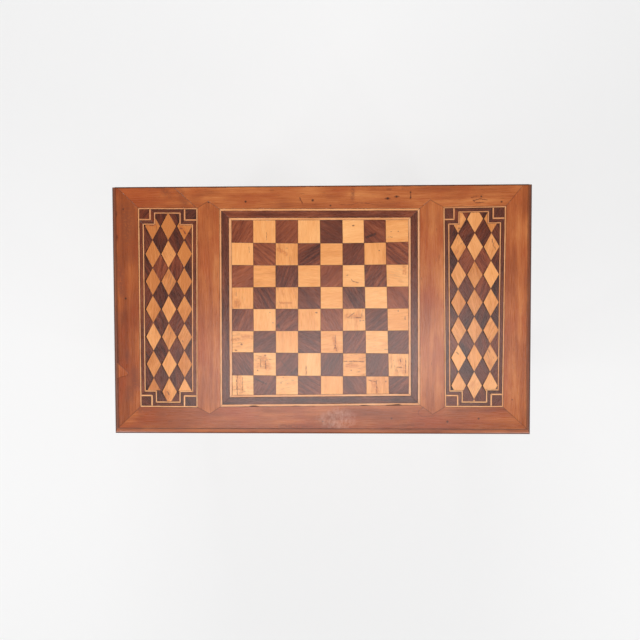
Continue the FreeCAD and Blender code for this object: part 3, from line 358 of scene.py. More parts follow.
def darkEdges(finish, edge):  # dark joints between the boards, and painted shade with grime along the frame's back and end edges
    x, y, z = finish.split(finish.spot())
    rag = (finish.noise(x * 60, y * 60, 8.0) - 0.5) * boardMarksAndLight["rag"] * mm
    frameBack = boardMiddle.y + frameFront
    back = finish.window(y + rag, *[frameBack - size * mm for size in boardMarksAndLight["backEdge"]])
    ends = finish.window(abs(x) + rag, *[frameEnd - size * mm for size in boardMarksAndLight["endEdge"]])
    shallow = finish.window(z, *[topSurface - size * mm for size in boardMarksAndLight["edgeDepth"]])
    return finish.most(edge ** 2 * 0.75, finish.most(back * 0.9, ends * 0.5)) * shallow


def cherryBoards(name):
    finish, (along, across), draws, edge, (streak, fibre, cloud) = inlayWood(name, cherryLook)
    tone, marks, _ = draws
    value = streak * 0.42 + cloud * 0.46 + fibre * 0.10 + (tone - 0.5) * 0.75
    finish.colour = finish.shade(value)
    blush = finish.patches(0.42, 0.70, along * 9, across * 17, 4.0, 4.0)
    finish.tint(blush * 0.55, "blush")
    fleck = finish.patches(0.64, 0.71, along * 45, across * 330)
    finish.tint(fleck * 0.4, "deepBrown")
    stain = finish.patches(0.52, 0.76, along * 13, across * 30, 0.0, 4.0) * marks
    knot = scars(finish, boardMarksAndLight["knots"], 0.0) * finish.window(cloud, 0.1, 0.8)
    stain = finish.most(stain * 0.6, knot * 0.6)
    finish.tint(stain, "stain")
    track = scars(finish, boardMarksAndLight["tracks"]) * finish.window(streak + cloud, 0.2, 1.1)
    finish.tint(track * 0.8, "stain")
    hole = spots(finish, boardMarksAndLight["holes"], boardMarksAndLight["holeRim"])
    finish.tint(hole * 0.85, "wormHole")
    # painted reflection: the front rail is lightened where the polish catches the light
    paintedSheen = sheenPatch(finish)
    finish.tint(paintedSheen * 0.45, "sheenTone")
    # dark joints, and painted shade with grime along the back and end edges
    finish.tint(darkEdges(finish, edge), "deepBrown")
    normal = finish.bump(fibre * 0.5 + streak * 0.5 - (hole + track) * 2, 0.07, 0.4)
    return finish.wear(0.25 + fibre * 0.05 + paintedSheen * 0.15 + stain * 0.1, normal, **waxed)


mapleMarks = {
    "stains": [
        (-94, 139, -77, 128, 4.0), (-190, 20, -189, 16, 7.0), (-92, 18, -66, 18, 2.0),
        (189, 100, 189, 84, 4.0), (-176, -57, -156, -60, 4.5), (-200, -66, -184, -64, 3.0),
        (60, -124, 82, -125, 4.0), (-130, -108, -120, -128, 7.0), (60, -12, 92, -14, 5.0),
        (-188, -150, -180, -185, 6.0), (180, -112, 188, -138, 6.0), (118, -160, 128, -182, 5.0),
        (-156, 164, -160, 158, 4.0), (30, -60, 36, -88, 4.0), (-391, 194, -373, 194, 2.5),
        (-315, 188, -304, 174, 5.0), (-351, -187, -350, -200, 7.0), (-386, -176, -384, -170, 3.0),
    ],
    "cracks": [
        (-121, 176, -121, 160, 0.5), (-161, 146, -161, 131, 0.5), (73, 191, 74, 191, 1.8),
        (-385, 194, -377, 195, 1.0), (-317, 188, -312, 186, 1.2), (-309, 182, -305, 175, 1.0),
        (309, 184, 311, 184, 2.0), (383, 160, 386, 148, 0.7), (386, 148, 391, 136, 0.6),
        (-350, -184, -346, -190, 1.3), (306, -94, 310, -98, 0.9), (-314, -68, -313, -70, 1.2),
        (-10, -4, -9, -4, 1.7), (59, 80, 60, 80, 1.6), (-75, 141, -74, 141, 1.0), (158, 177, 159, 177, 0.9),
        (174, 178, 175, 178, 0.9), (152, 165, 162, 165, 0.6), (132, 135, 133, 135, 1.0),
        (-115, -4, -114, -4, 1.0), (-108, -27, -107, -27, 1.2), (-180, -76, -179, -76, 1.8),
        (-194, -89, -190, -89, 1.2), (-126, -101, -125, -101, 1.5), (-144, -135, -143, -135, 1.3),
        (-86, -151, -85, -151, 1.2), (-91, -163, -90, -163, 1.2), (174, -1, 175, -1, 1.1),
        (69, -134, 69, -135, 1.1), (180, -110, 180, -115, 1.2), (147, -160, 147, -161, 1.3),
        (69, 71, 73, 66, 0.7), (73, 66, 85, 63, 0.7), (-136, -109, -136, -127, 0.8),
        (-125, -114, -125, -131, 0.9), (-131, -112, -112, -110, 0.5), (-33, -124, -33, -145, 0.8),
        (-191, -160, -190, -189, 1.1), (-189, -147, -191, -160, 0.8), (-178, -152, -178, -180, 0.6),
        (-68, -157, -60, -158, 0.7), (61, -16, 91, -15, 0.8), (63, -15, 76, -5, 0.7),
        (88, -23, 98, -22, 0.7), (190, -14, 190, -21, 0.8), (33, -56, 33, -80, 0.8),
        (33, -80, 37, -92, 0.7), (33, -80, 29, -91, 0.6), (144, -87, 152, -87, 0.6),
        (52, -114, 98, -115, 0.9), (192, -109, 191, -141, 0.9), (172, -128, 183, -128, 0.7),
        (127, -157, 127, -186, 0.8), (108, -157, 125, -161, 0.7),
    ],
}


def mapleInlay(name):
    finish, (along, across), draws, edge, (streak, fibre, cloud) = inlayWood(name, mapleLook)
    tone, marks, peach = draws
    value = streak * 0.28 + cloud * 0.24 + fibre * 0.14 + (tone - 0.5) * 0.75 + 0.18
    finish.colour = finish.mix(peach, finish.shade(value), finish.shade(value, "peachShades"))
    stain = finish.patches(0.50, 0.72, along * 34, across * 60, 5.0, 4.0) * marks
    stain = finish.most(stain * 0.55, scars(finish, mapleMarks["stains"]) * 0.5)
    finish.tint(stain, "stain")
    patch = finish.patches(0.46, 0.60, along * 26, across * 30, 3.0, 2.0) * marks
    thread = finish.window(abs(finish.noise(along * 16, across * 210, 11.0, 2.0) - 0.5), 0.032, 0.006)
    rare = finish.patches(0.50, 0.66, along * 30, across * 30, 9.0)
    pit = finish.window(finish.cells(along * 150, across * 190), 0.14, 0.05) * rare
    dark = finish.most(thread * patch * 0.55, pit * 0.5)
    dark = finish.most(dark, scars(finish, mapleMarks["cracks"]) * 0.8)
    finish.tint(dark, "deepBrown")
    finish.tint(edge ** 2 * 0.55, "deepBrown")
    normal = finish.bump(fibre * 0.5 - dark * 1.5, 0.07, 0.4)
    return finish.wear(0.25 + fibre * 0.05 + dark * 0.1, normal, **waxed)


walnutMarks = [(104, 165, 123, 172, 2.5), (-90, -112, -65, -142, 0.7), (-149, -154, -123, -166, 1.5),
               (-96, -32, -93, -39, 2.0)]


def walnutInlay(name):
    finish, (along, across), draws, edge, (streak, fibre, cloud) = inlayWood(name, walnutLook)
    tone, strength, red = draws
    figured = (streak - 0.5) * (strength * 0.55 + 0.3) + (cloud - 0.5) * 0.3 + (fibre - 0.5) * 0.18
    figure = figured + (tone - 0.5) * 0.55 + 0.5
    finish.colour = finish.mix(red, finish.shade(figure, "dullShades"), finish.shade(figure))
    pore = finish.patches(0.60, 0.70, along * 110, across * 1300, 2.0, 2.0)
    dark = finish.most(pore * 0.5, scars(finish, walnutMarks) * 0.8)
    finish.tint(dark, "deepBrown")
    finish.tint(edge ** 2 * 0.5, "deepBrown")
    normal = finish.bump(fibre * 0.5 + streak * 0.5 - pore, 0.07, 0.4)
    return finish.wear(0.25 + fibre * 0.05 + pore * 0.10, normal, **waxed)


# Metals: their clouds and pits in waves per metre

brassLook = {
    "cloud": 90, "pit": 900,
    "shades": shadesOf((0.0, 98, 68, 32), (0.5, 166, 122, 58), (1.0, 204, 162, 88)),
}
ironLook = {"cloud": 120, "pit": 700, "bare": hexTone(84, 80, 76), "rust": hexTone(108, 66, 42)}


def oldMetal(name, look):  # a metal's finish with its clouds and pits
    finish = Finish(name, look)
    place = finish.split(finish.spot())
    cloud = finish.noise(*[way * look["cloud"] for way in place], 5.0, 0.65)
    return finish, cloud, finish.noise(*[way * look["pit"] for way in place])


def agedBrass(name):
    finish, cloud, pit = oldMetal(name, brassLook)
    finish.colour = finish.shade(finish.window(cloud, 0.32, 0.68))
    rough = 0.30 + finish.window(cloud, 0.66, 0.36) * 0.25
    return finish.wear(rough, finish.bump(pit, 0.12, 0.2), Metallic=1.0)


def darkIron(name):
    finish, cloud, pit = oldMetal(name, ironLook)
    rust = finish.window(cloud, 0.54, 0.68)
    finish.colour = ironLook["bare"]
    finish.tint(rust * 0.6, "rust")
    finish.feed(finish.shader.inputs["Metallic"], 1.0 - rust * 0.6)
    return finish.wear(0.42 + rust * 0.3, finish.bump(pit, 0.2, 0.3))


# Flat pieces: outlines laid on the top, cut apart, given a thickness and eased along the top edges

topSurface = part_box("chess_light_squares")[1].z
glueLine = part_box("chess_ground_panel")[1].z
boardMiddle, boardHalf = spanOf("chess_outer_strings")
edgeHalf = boardHalf.x
lozengePanel = {
    "outerString": 3.0, "band": 7.0, "innerString": 3.0, "cornerSquare": 21.5, "cornerString": 3.6,
    "columns": 3, "rows": 4,  # rows each way from the middle one
    "heights": {"left": 62.6, "right": 62.5}, "shifts": {"left": -2.7, "right": 10.9},
    "slides": {"left": 0.8, "right": 0.2}, "tipPull": 1.8,  # the light ones fall short at the left
    "lightTones": (-0.2, -0.1, 0.05, 0.3), "darkTones": (-0.25, -0.05, 0.15, 0.45),
    "rightPaler": 0.28, "frontPaler": 0.05,  # for the right panel, and for each row to the front
    "plainNeck": "left",  # the panel whose front neck has no light slivers at its sides
    "jitter": 0.5, "gap": 0.16, "rim": 0.5, "ease": 0.18, "depth": 2.0, "uneven": 0.3, "shortest": 1.4,
    # how much wider and longer each corner's step is, from the back right one round by the front
    "stepStrays": {"left": [(2.5, 0.7), (4.2, -0.5), (0.9, 0.0), (0.6, 0.0)],
                   "right": [(0.8, 0.5), (1.0, 2.6), (3.0, 0.0), (-3.6, 1.5)]},
}
panelInset = (lozengePanel["outerString"] + lozengePanel["band"] + lozengePanel["innerString"]) * mm
cornerStep = (lozengePanel["cornerSquare"] + lozengePanel["cornerString"]) * mm


def panelField(name):  # the middle and half sizes of a side panel, out to its outer string
    middle, half = spanOf(f"{name}_dark_lozenges")
    return Vector((middle.x, boardMiddle.y)), Vector((half.x + panelInset, edgeHalf))


fields = {"chess": (boardMiddle.xy, Vector((edgeHalf, edgeHalf))),
          "left": panelField("left"), "right": panelField("right")}
panelOuter = fields["right"][0].x + fields["right"][1].x
stileOuter = fields["right"][0].x - fields["right"][1].x
stileMiddle = (edgeHalf + stileOuter) / 2
# how far each field's corners stray, in millimetres, from the front left one round to the back left
fieldStrays = {
    "chess": [(-2.9, 1.3), (-1.8, 5.8), (-3.6, -4.2), (-1.5, -2.3)],
    "left": [(0.5, 0.8), (-0.9, 0.0), (3.2, 0.0), (0.5, 1.2)],
    "right": [(0.2, 1.6), (-2.4, 1.6), (1.2, 0.0), (-5.3, -1.5)],
}


def strayed(x, y):  # where a place of the true layout really lies
    name = "chess" if abs(x) < stileMiddle else "left" if x < 0 else "right"
    middle, half = fields[name]
    right = (x - middle.x) / half.x / 2 + 0.5
    back = (y - middle.y) / half.y / 2 + 0.5
    shares = [(1 - right) * (1 - back), right * (1 - back), right * back, (1 - right) * back]
    moves = [Vector(stray) * share * mm for stray, share in zip(fieldStrays[name], shares)]
    return Vector((x, y)) + sum(moves, Vector((0, 0)))


def fitToField(piece):  # in edit mode
    mesh = bmesh.from_edit_mesh(piece.data)
    for vert in mesh.verts:
        vert.co.xy = strayed(vert.co.x, vert.co.y)
    bmesh.update_edit_mesh(piece.data)


def crosswise(corners):  # twice the signed area, positive when the corners run anticlockwise
    following = corners[1:] + corners[:1]
    return sum(one[0] * two[1] - two[0] * one[1] for one, two in zip(corners, following))


def layOutlines(name, outlines):
    bpy.ops.object.select_all(action="DESELECT")
    for index, corners in enumerate(outlines):
        bpy.ops.mesh.primitive_circle_add(vertices=len(corners), radius=0.01, fill_type="NGON")
        if index == 0:
            piece = bpy.context.object
            piece.name = name
            bpy.ops.object.mode_set(mode="EDIT")
            bpy.ops.mesh.select_mode(type="FACE")
        mesh = bmesh.from_edit_mesh(piece.data)
        layer = mesh.faces.layers.int.get("tile") or mesh.faces.layers.int.new("tile")
        face = next(face for face in mesh.faces if face.select)
        face[layer] = index
        turned = corners if crosswise(corners) > 0 else corners[::-1]
        for vert, (x, y) in zip(face.verts, turned):
            vert.co = (x, y, topSurface)
        bmesh.update_edit_mesh(piece.data)
    return piece


def pickAll():
    bpy.ops.mesh.select_all(action="SELECT")


def pick(kind, test):  # in edit mode, select the edges or faces that pass a test
    bpy.ops.mesh.select_mode(type=kind)
    bpy.ops.mesh.select_all(action="DESELECT")
    data = bpy.context.object.data
    mesh = bmesh.from_edit_mesh(data)
    for part in mesh.edges if kind == "EDGE" else mesh.faces:
        part.select_set(test(part))
    bmesh.update_edit_mesh(data)


def topArris(line):  # whether an edge lies between the top and a side
    level = all(abs(vert.co.z - topSurface) < touching for vert in line.verts)
    return level and any(abs(face.normal.z) < 0.1 for face in line.link_faces)


def easeFlats(piece, facts):  # in edit mode, from flat faces to separate eased solids
    gap, rim, depth, ease = [facts[size] * mm for size in ("gap", "rim", "depth", "ease")]
    pickAll()
    bpy.ops.mesh.inset(thickness=gap, use_individual=True)
    bpy.ops.mesh.select_all(action="INVERT")
    bpy.ops.mesh.delete(type="FACE")
    pickAll()
    bpy.ops.mesh.inset(thickness=rim, use_individual=True)
    mesh = bmesh.from_edit_mesh(piece.data)
    layer = mesh.verts.layers.float.new("edge")
    for vert in mesh.verts:
        vert[layer] = 0.0 if any(face.select for face in vert.link_faces) else 1.0
    pickAll()
    bpy.ops.mesh.extrude_region_move(TRANSFORM_OT_translate={"value": (0, 0, -depth)})
    pickAll()
    bpy.ops.mesh.normals_make_consistent(inside=False)
    pick("EDGE", topArris)
    bpy.ops.mesh.bevel(offset=ease, segments=2, affect="EDGES")


def cutGrain(piece, cuts):  # in edit mode; each cut is an angle, a slide of the pattern and three draws
    mesh = bmesh.from_edit_mesh(piece.data)
    tile = mesh.faces.layers.int["tile"]
    draw = mesh.faces.layers.float_vector.new("draw")
    grain = mesh.loops.layers.uv.new("grain")
    for face in mesh.faces:
        angle, slide, draws = cuts[face[tile]]
        face[draw] = draws
        for loop in face.loops:
            x, y, z = loop.vert.co
            along = x * math.cos(angle) + y * math.sin(angle)
            across = y * math.cos(angle) - x * math.sin(angle) + z - topSurface
            loop[grain].uv = (along + slide[0], across + slide[1])
    bmesh.update_edit_mesh(piece.data)
    bpy.ops.object.mode_set(mode="OBJECT")


def anyCut(angle, tone=None, marks=None, red=None):
    slide = (chance.uniform(-4, 4), chance.uniform(-4, 4))
    draws = [chance.random() if value is None else value for value in (tone, marks, red)]
    return angle, slide, draws


def layPiece(name, outlines, cuts, facts, wood, node, panel=None, fit=True):
    piece = layOutlines(name, outlines)
    if panel:
        clearOutside(panel)
    if fit:
        fitToField(piece)
    easeFlats(piece, facts)
    cutGrain(piece, cuts)
    piece.data.materials.clear()
    piece.data.materials.append(woods[wood])
    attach(piece, "table")
    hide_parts(node)
    print("laid", piece.name, len(piece.data.polygons), "faces")


biteStep = 8 * mm  # between the small bites of a hand-cut edge


def wander(start, end, inward, uneven, chips=()):  # an edge that is straight to the eye, with some chips
    count = max(2, round((end - start).length / biteStep))
    points = [start]
    for turn in range(1, count):
        spot = start.lerp(end, turn / count)
        bite = chance.uniform(0, uneven)
        for middle, half, deep in chips:
            if abs(spot.x - middle * mm) < half * mm:
                bite += deep * mm * chance.uniform(0.6, 1.0)
        points.append(spot + inward * bite)
    return points + [end]


def stripOutlines(outer, inner, uneven, chips=()):  # mitred strips between two rings of corners
    outlines = []
    angles = []
    for index in range(len(outer)):
        follow = (index + 1) % len(outer)
        run = (outer[follow] - outer[index]).normalized()
        inward = (inner[index] + inner[follow] - outer[index] - outer[follow]).normalized()
        inward = (inward - run * inward.dot(run)).normalized()
        worn = chips if index == 0 else ()
        near = wander(outer[index], outer[follow], inward, uneven, chips=worn)
        far = wander(inner[follow], inner[index], -inward, uneven)
        outlines.append([tuple(spot) for spot in near + far])
        angles.append(math.atan2(run.y, run.x))
    return outlines, angles


def fieldRing(name, *insets):  # a field's outline set in at the left, right, front and back
    middle, half = fields[name]
    left, right, front, back = [inset * mm for inset in insets]
    lowX, highX = middle.x - half.x + left, middle.x + half.x - right
    lowY, highY = middle.y - half.y + front, middle.y + half.y - back
    return [Vector(corner) for corner in ((lowX, lowY), (highX, lowY), (highX, highY), (lowX, highY))]


# The chessboard, with the uneven rows and borders of the real one, in millimetres

chessboard = {
    "columns": [48.4, 50.8, 50.0, 50.6, 50.0, 50.2, 49.7, 47.3],  # from the left
    "rows": [41.7, 51.5, 50.1, 49.7, 48.7, 49.5, 50.5, 49.2],  # from the front
    "lean": [0.0, -0.7, -0.7, -1.4, 0.3, 0.0, 5.0, 7.8, 0.0],  # each upright line, to the right at the front
    "tilt": [0.0, -6.0, -6.0, -1.6, 0.0, 0.0, 0.0, 0.0, 0.0],  # each level line, up at the right
    "sag": [0.0, 0.0, 0.0, 0.0, 0.0, 0.0, 1.0, 2.8, 0.0],  # and how far it hangs at its middle
    "jitter": 0.4, "gap": 0.16, "rim": 1.0, "ease": 0.16, "depth": 2.0,
    # squares counted from the front left; how marked some of the light ones are
    "marked": {(2, 0): 1.0, (1, 1): 0.9, (1, 5): 1.0, (0, 0): 0.9, (0, 2): 0.6, (4, 0): 0.6, (4, 2): 0.6,
               (1, 7): 0.9, (3, 5): 0.7, (5, 7): 0.4, (0, 6): 0.6, (2, 6): 0.5, (6, 2): 0.5},
    "reddish": [(7, 2), (6, 7), (5, 4), (3, 4), (4, 7), (5, 0), (7, 0), (6, 1)],
}
chessBorder = {
    "strips": [("outer_string", "maple", 0.3), ("band", "walnut", 0.10), ("inner_string", "maple", 0.3)],
    # the lines between them, at the left, right, front and back, from the board's edge
    "margins": [(0.0, 0.0, 0.0, 0.0), (4.5, 4.8, 5.3, 4.7),
                (21.2, 20.1, 21.5, 20.3), (27.7, 25.5, 26.8, 25.8)],
    "reds": {"walnut": (0.2, 0.4, 0.7, 0.3), "maple": (0.7, 0.9, 0.6, 0.8)},  # front, right, back, left
    "uneven": {"walnut": 0.25, "maple": 0.35}, "gap": 0.16, "rim": 0.4, "ease": 0.15, "depth": 2.0,
    "chips": [(-149, 7, 2.2), (-52, 5, 1.0), (100, 6, 1.2), (158, 10, 1.6), (174, 6, 2.2)],  # at the front
}


def gridLines(start, end, sizes):
    lines = [start]
    for size in sizes:
        lines.append(lines[-1] + size * (end - start) / sum(sizes))
    return lines


chessRings = [fieldRing("chess", *margins) for margins in chessBorder["margins"]]
field = chessRings[-1]
columnLines = gridLines(field[0].x, field[2].x, chessboard["columns"])
rowLines = gridLines(field[0].y, field[2].y, chessboard["rows"])
squares = len(chessboard["columns"])
crossings = {}
for row, y in enumerate(rowLines):
    for column, x in enumerate(columnLines):
        looseX = chessboard["jitter"] * chance.uniform(-1, 1) if 0 < column < squares else 0.0
        looseY = chessboard["jitter"] * chance.uniform(-1, 1) if 0 < row < squares else 0.0
        lean = chessboard["lean"][column] * (0.5 - row / squares)
        tilt = chessboard["tilt"][row] * (column / squares - 0.5)
        sag = chessboard["sag"][row] * column * (squares - column) * 4 / squares ** 2
        crossings[row, column] = (x + (lean + looseX) * mm, y + (tilt - sag + looseY) * mm)


def squareOutline(row, column):
    return [crossings[row + up, column + over] for up, over in ((0, 0), (0, 1), (1, 1), (1, 0))]


def darkCut(row, column):
    leaning = chance.choice((-1, 1)) * math.radians(chance.uniform(28, 68))
    if (row, column) in chessboard["reddish"]:
        return anyCut(leaning, chance.uniform(0.55, 0.9), None, chance.uniform(0.8, 1.0))
    return anyCut(leaning, chance.uniform(0.25, 0.65), None, chance.uniform(0.2, 0.8))


def lightCut(row, column):
    angle = chance.choice((0, 0, math.pi / 2)) + math.radians(chance.uniform(-9, 9))
    marks = chessboard["marked"].get((row, column), chance.uniform(0.0, 0.25))
    return anyCut(angle, chance.uniform(0.35, 0.95), marks, 0.0)


woods = {"maple": mapleInlay("old_maple_inlay"), "walnut": walnutInlay("old_walnut_inlay")}
for name, remainder, wood, cutFor in (("light", 0, "maple", lightCut), ("dark", 1, "walnut", darkCut)):
    places = [divmod(place, squares) for place in range(squares ** 2)]
    places = [place for place in places if sum(place) % 2 == remainder]
    outlines = [squareOutline(*place) for place in places]
    cuts = [cutFor(*place) for place in places]
    layPiece(f"chess_{name}_veneer", outlines, cuts, chessboard, wood, f"chess_{name}_squares")

for turn, (name, wood, tone) in enumerate(chessBorder["strips"]):
    chips = chessBorder["chips"] if turn == 0 else ()
    outlines, angles = stripOutlines(*chessRings[turn:turn + 2], chessBorder["uneven"][wood] * mm, chips)
    reds = chessBorder["reds"][wood]
    cuts = [anyCut(angle, tone + red * 0.5, 0.3, red) for angle, red in zip(angles, reds)]
    layPiece(f"chess_{name}_veneer", outlines, cuts, chessBorder, wood, f"chess_{name}s")


# The lozenge panels

panelCorners = ((1, 1), (1, -1), (-1, -1), (-1, 1))  # side and end, from the back right one
lozengeTips = ((0.5, 0), (0, 0.5), (-0.5, 0), (0, -0.5))


def steppedRing(name, inset):  # a panel's outline with a step out of each corner
    middle, half = fields[name]
    wide = half.x - inset
    long = half.y - inset
    ring = []
    for (side, end), (strayX, strayY) in zip(panelCorners, lozengePanel["stepStrays"][name]):
        nearX = wide - cornerStep - strayX * mm
        nearY = long - cornerStep - strayY * mm
        corner = [(nearX, long), (nearX, nearY), (wide, nearY)]
        turned = corner if side == end else corner[::-1]
        ring += [Vector((middle.x + side * x, middle.y + end * y)) for x, y in turned]
    return ring


def past(step, corner, places):  # whether some of the places lie past a corner's step, both ways
    outs = [(place.xy - step) * Vector(corner) for place in places]
    return max(out.x for out in outs) > 0 and max(out.y for out in outs) > 0


def clearOutside(name):  # cut the laid lozenges to the stepped field
    middle, half = fields[name]
    for out in ((1, 0), (-1, 0), (0, 1), (0, -1)):
        edge = middle + (half - Vector((panelInset, panelInset))) * Vector(out)
        pickAll()
        bpy.ops.mesh.bisect(plane_co=(*edge, 0), plane_no=(*out, 0), clear_outer=True)
    for step, corner in zip(steppedRing(name, panelInset)[1::3], panelCorners):
        for out in ((corner[0], 0, 0), (0, corner[1], 0)):
            pick("FACE", lambda face: past(step, corner, [vert.co for vert in face.verts]))
            bpy.ops.mesh.bisect(plane_co=(*step, 0), plane_no=out)
        pick("FACE", lambda face: past(step, corner, [face.calc_center_median()]))
        bpy.ops.mesh.delete(type="FACE")
    pickAll()
    bpy.ops.mesh.dissolve_limited(angle_limit=math.radians(1))
    pick("EDGE", lambda line: line.calc_length() < lozengePanel["shortest"] * mm)
    bpy.ops.mesh.merge(type="COLLAPSE")  # a shorter edge would turn over when it is eased
    bpy.ops.mesh.select_mode(type="FACE")


def splitAt(corners, level):  # a lozenge cut along a level line, into its back and front parts
    parts = {True: [], False: []}
    for (x, y), (nextX, nextY) in zip(corners, corners[1:] + corners[:1]):
        parts[y > level].append((x, y))
        if (y > level) != (nextY > level):
            spot = (x + (nextX - x) * (level - y) / (nextY - y), level)
            parts[True].append(spot)
            parts[False].append(spot)
    return parts[True], parts[False]


def cutShort(name, outlines):  # light lozenges end at a plain neck's step, and dark pieces fill the rest
    fillers = []
    first = lozengePanel["columns"]  # the first row lies in front of the panel, so the second one shows
    if name == lozengePanel["plainNeck"]:
        for place, step in zip((first + 2, first), steppedRing(name, panelInset)[4:8:3]):
            outlines[place], rest = splitAt(outlines[place], step.y)
            fillers.append(rest)
    return fillers


def lozengeOutlines(name, dark):
    offset = 0.5 if dark else 0.0
    columns = [-1.5, -0.5, 0.5, 1.5] if dark else [-1, 0, 1]
    outlines = []
    for row in range(-lozengePanel["rows"], lozengePanel["rows"] + 1):
        for column in columns:
            corners = [tipPlace(name, column + over, row + offset + up) for over, up in lozengeTips]
            if not dark:
                corners[2] = (corners[2][0] + lozengePanel["tipPull"] * mm, corners[2][1])
            outlines.append(corners)
    return outlines


tipMisses = {}


def tipPlace(name, column, row):  # neighbours share their uneven tips
    if (name, column, row) not in tipMisses:
        loose = lozengePanel["jitter"]
        tipMisses[name, column, row] = (chance.uniform(-loose, loose) * 0.6, chance.uniform(-loose, loose))
    missX, missY = tipMisses[name, column, row]
    middle, half = fields[name]
    width = (half.x - panelInset) * 2 / lozengePanel["columns"]
    x = middle.x + column * width + (lozengePanel["slides"][name] + missX) * mm
    return x, middle.y + (lozengePanel["shifts"][name] + row * lozengePanel["heights"][name] + missY) * mm


def lozengeCut(name, dark, place):
    if dark:
        angle = math.radians(90 + chance.uniform(-35, 35))
        return anyCut(angle, chance.choice(lozengePanel["darkTones"]), None, chance.uniform(0.3, 1.0))
    angle = math.radians(90 + chance.uniform(-25, 25))
    row = place // lozengePanel["columns"] - lozengePanel["rows"]
    pale = lozengePanel["rightPaler"] * (name == "right") - lozengePanel["frontPaler"] * row
    tone = chance.choice(lozengePanel["lightTones"]) + pale
    return anyCut(angle, tone, chance.choice((0.0, 0.0, 0.2, 0.9)), chance.uniform(0.0, 0.3))


def layLozenges(name):
    fillers = []
    for shade, wood in (("light", "maple"), ("dark", "walnut")):
        outlines = lozengeOutlines(name, shade == "dark")
        cuts = [lozengeCut(name, shade == "dark", place) for place in range(len(outlines))]
        if shade == "light":
            fillers = cutShort(name, outlines)
        else:
            outlines += fillers
            cuts += cuts[:len(fillers)]
        layPiece(f"{name}_{shade}_lozenge_veneer", outlines, cuts, lozengePanel, wood,
                 f"{name}_{shade}_lozenges", panel=name)


panelStrips = {"outer": [], "band": [], "inner": [], "square": []}  # outlines, each with its grain's angle


def addStrips(name):
    middle, half = fields[name]
    string = lozengePanel["outerString"]
    rings = [fieldRing(name, *[inset] * 4) for inset in (0.0, string)]
    bandOuter = string * mm
    bandInner = bandOuter + lozengePanel["band"] * mm
    steps = [steppedRing(name, inset) for inset in (bandOuter, bandInner, panelInset)]
    for key, outer, inner in (("outer", *rings), ("band", *steps[:2]), ("inner", *steps[1:])):
        panelStrips[key] += zip(*stripOutlines(outer, inner, lozengePanel["uneven"] * mm))
    for (side, end), step in zip(panelCorners, steps[0][1::3]):
        outX = middle.x + side * (half.x - bandOuter)
        outY = middle.y + end * (half.y - bandOuter)
        nearX = step.x + side * lozengePanel["cornerString"] * mm
        nearY = step.y + end * lozengePanel["cornerString"] * mm
        square = [(outX, outY), (nearX, outY), (nearX, nearY), (outX, nearY)]
        upright = [(nearX, outY), (step.x, outY), (step.x, step.y), (nearX, nearY)]
        level = [(outX, nearY), (outX, step.y), (step.x, step.y), (nearX, nearY)]
        panelStrips["square"].append((square, chance.uniform(0, math.pi)))
        panelStrips["outer"] += [(upright, math.pi / 2), (level, 0.0)]


def frontShare(outline):  # 0 for a piece at the back of the panel and 1 at the front
    middleY = sum(y for _, y in outline) / len(outline)
    return 0.5 - (middleY - boardMiddle.y) / edgeHalf / 2


for name in ("left", "right"):
    layLozenges(name)
    addStrips(name)
edgings = (  # the strips, their wood, CAD node, tone and dark rim
    ("outer", "maple", "panel_outer_strings", 0.4, 0.3),
    ("band", "walnut", "panel_bands", 0.3, 0.9),
    ("inner", "maple", "panel_inner_strings", 0.4, 0.3),
    ("square", "walnut", "panel_corner_squares", None, 1.0),
)
for key, wood, node, tone, rim in edgings:
    cuts = []
    for outline, angle in panelStrips[key]:
        # painted sheen: the maple strips are painted paler and less peach towards the front, where the sheen
        # lights the top
        pale = frontShare(outline) if wood == "maple" else 0.0
        shade = tone + pale * 0.5 if tone else chance.uniform(-0.1, 0.35)
        cuts.append(anyCut(angle, shade, 0.15, 0.9 - pale * 0.4 if wood == "maple" else None))
    outlines = [outline for outline, _ in panelStrips[key]]
    layPiece(f"panel_{key}_veneer", outlines, cuts, lozengePanel | {"rim": rim}, wood, node)


# The frame of the top: rails, ends and stiles, each a board with its own tone

frameBoards = {
    "depth": 24.0, "gap": 0.02, "rim": 1.3, "ease": 0.2, "stilePoint": 15.0,
    "scarf": [(-332, 274), (-282, 226)],  # an old repair across the back rail, from its back edge
    "mitreSlips": {(-1, 1): 5.0, (1, 1): 12.0},  # by side and end, where a mitre meets the edge
    "tipSlips": {(1, 1): -7.0},  # and where a stile's point lies off its middle
    # a let-in patch at the left end's outer edge
    "patch": [(-465, -160), (-457, -157), (-442, -153.5), (-438.5, -147.5), (-445, -141), (-458, -130),
              (-465, -124)],
}
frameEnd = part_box("top_right_end")[1].x
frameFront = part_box("top_back_rail")[1].y - boardMiddle.y
point = frameBoards["stilePoint"] * mm


def onBoard(corners):  # corners that touch a field follow it
    placed = [Vector((x, y + boardMiddle.y)) for x, y in corners]
    return [tuple(strayed(*spot)) if abs(abs(y) - edgeHalf) < touching else tuple(spot)
            for spot, (_, y) in zip(placed, corners)]


def mitreEnd(side, end):  # where the joint of a rail and an end piece meets the frame's edge
    slip = frameBoards["mitreSlips"].get((side, end), 0.0) * mm
    return (side * (frameEnd - slip), end * frameFront)


def stileTip(side, end):
    slip = frameBoards["tipSlips"].get((side, end), 0.0) * mm
    return (side * stileMiddle + slip, end * (edgeHalf + point))


def railOutline(end):
    near = end * edgeHalf
    right = [(panelOuter, near), (stileOuter, near), stileTip(1, end), (edgeHalf, near)]
    left = [(-edgeHalf, near), stileTip(-1, end), (-stileOuter, near), (-panelOuter, near)]
    return [mitreEnd(-1, end), mitreEnd(1, end)] + right + left


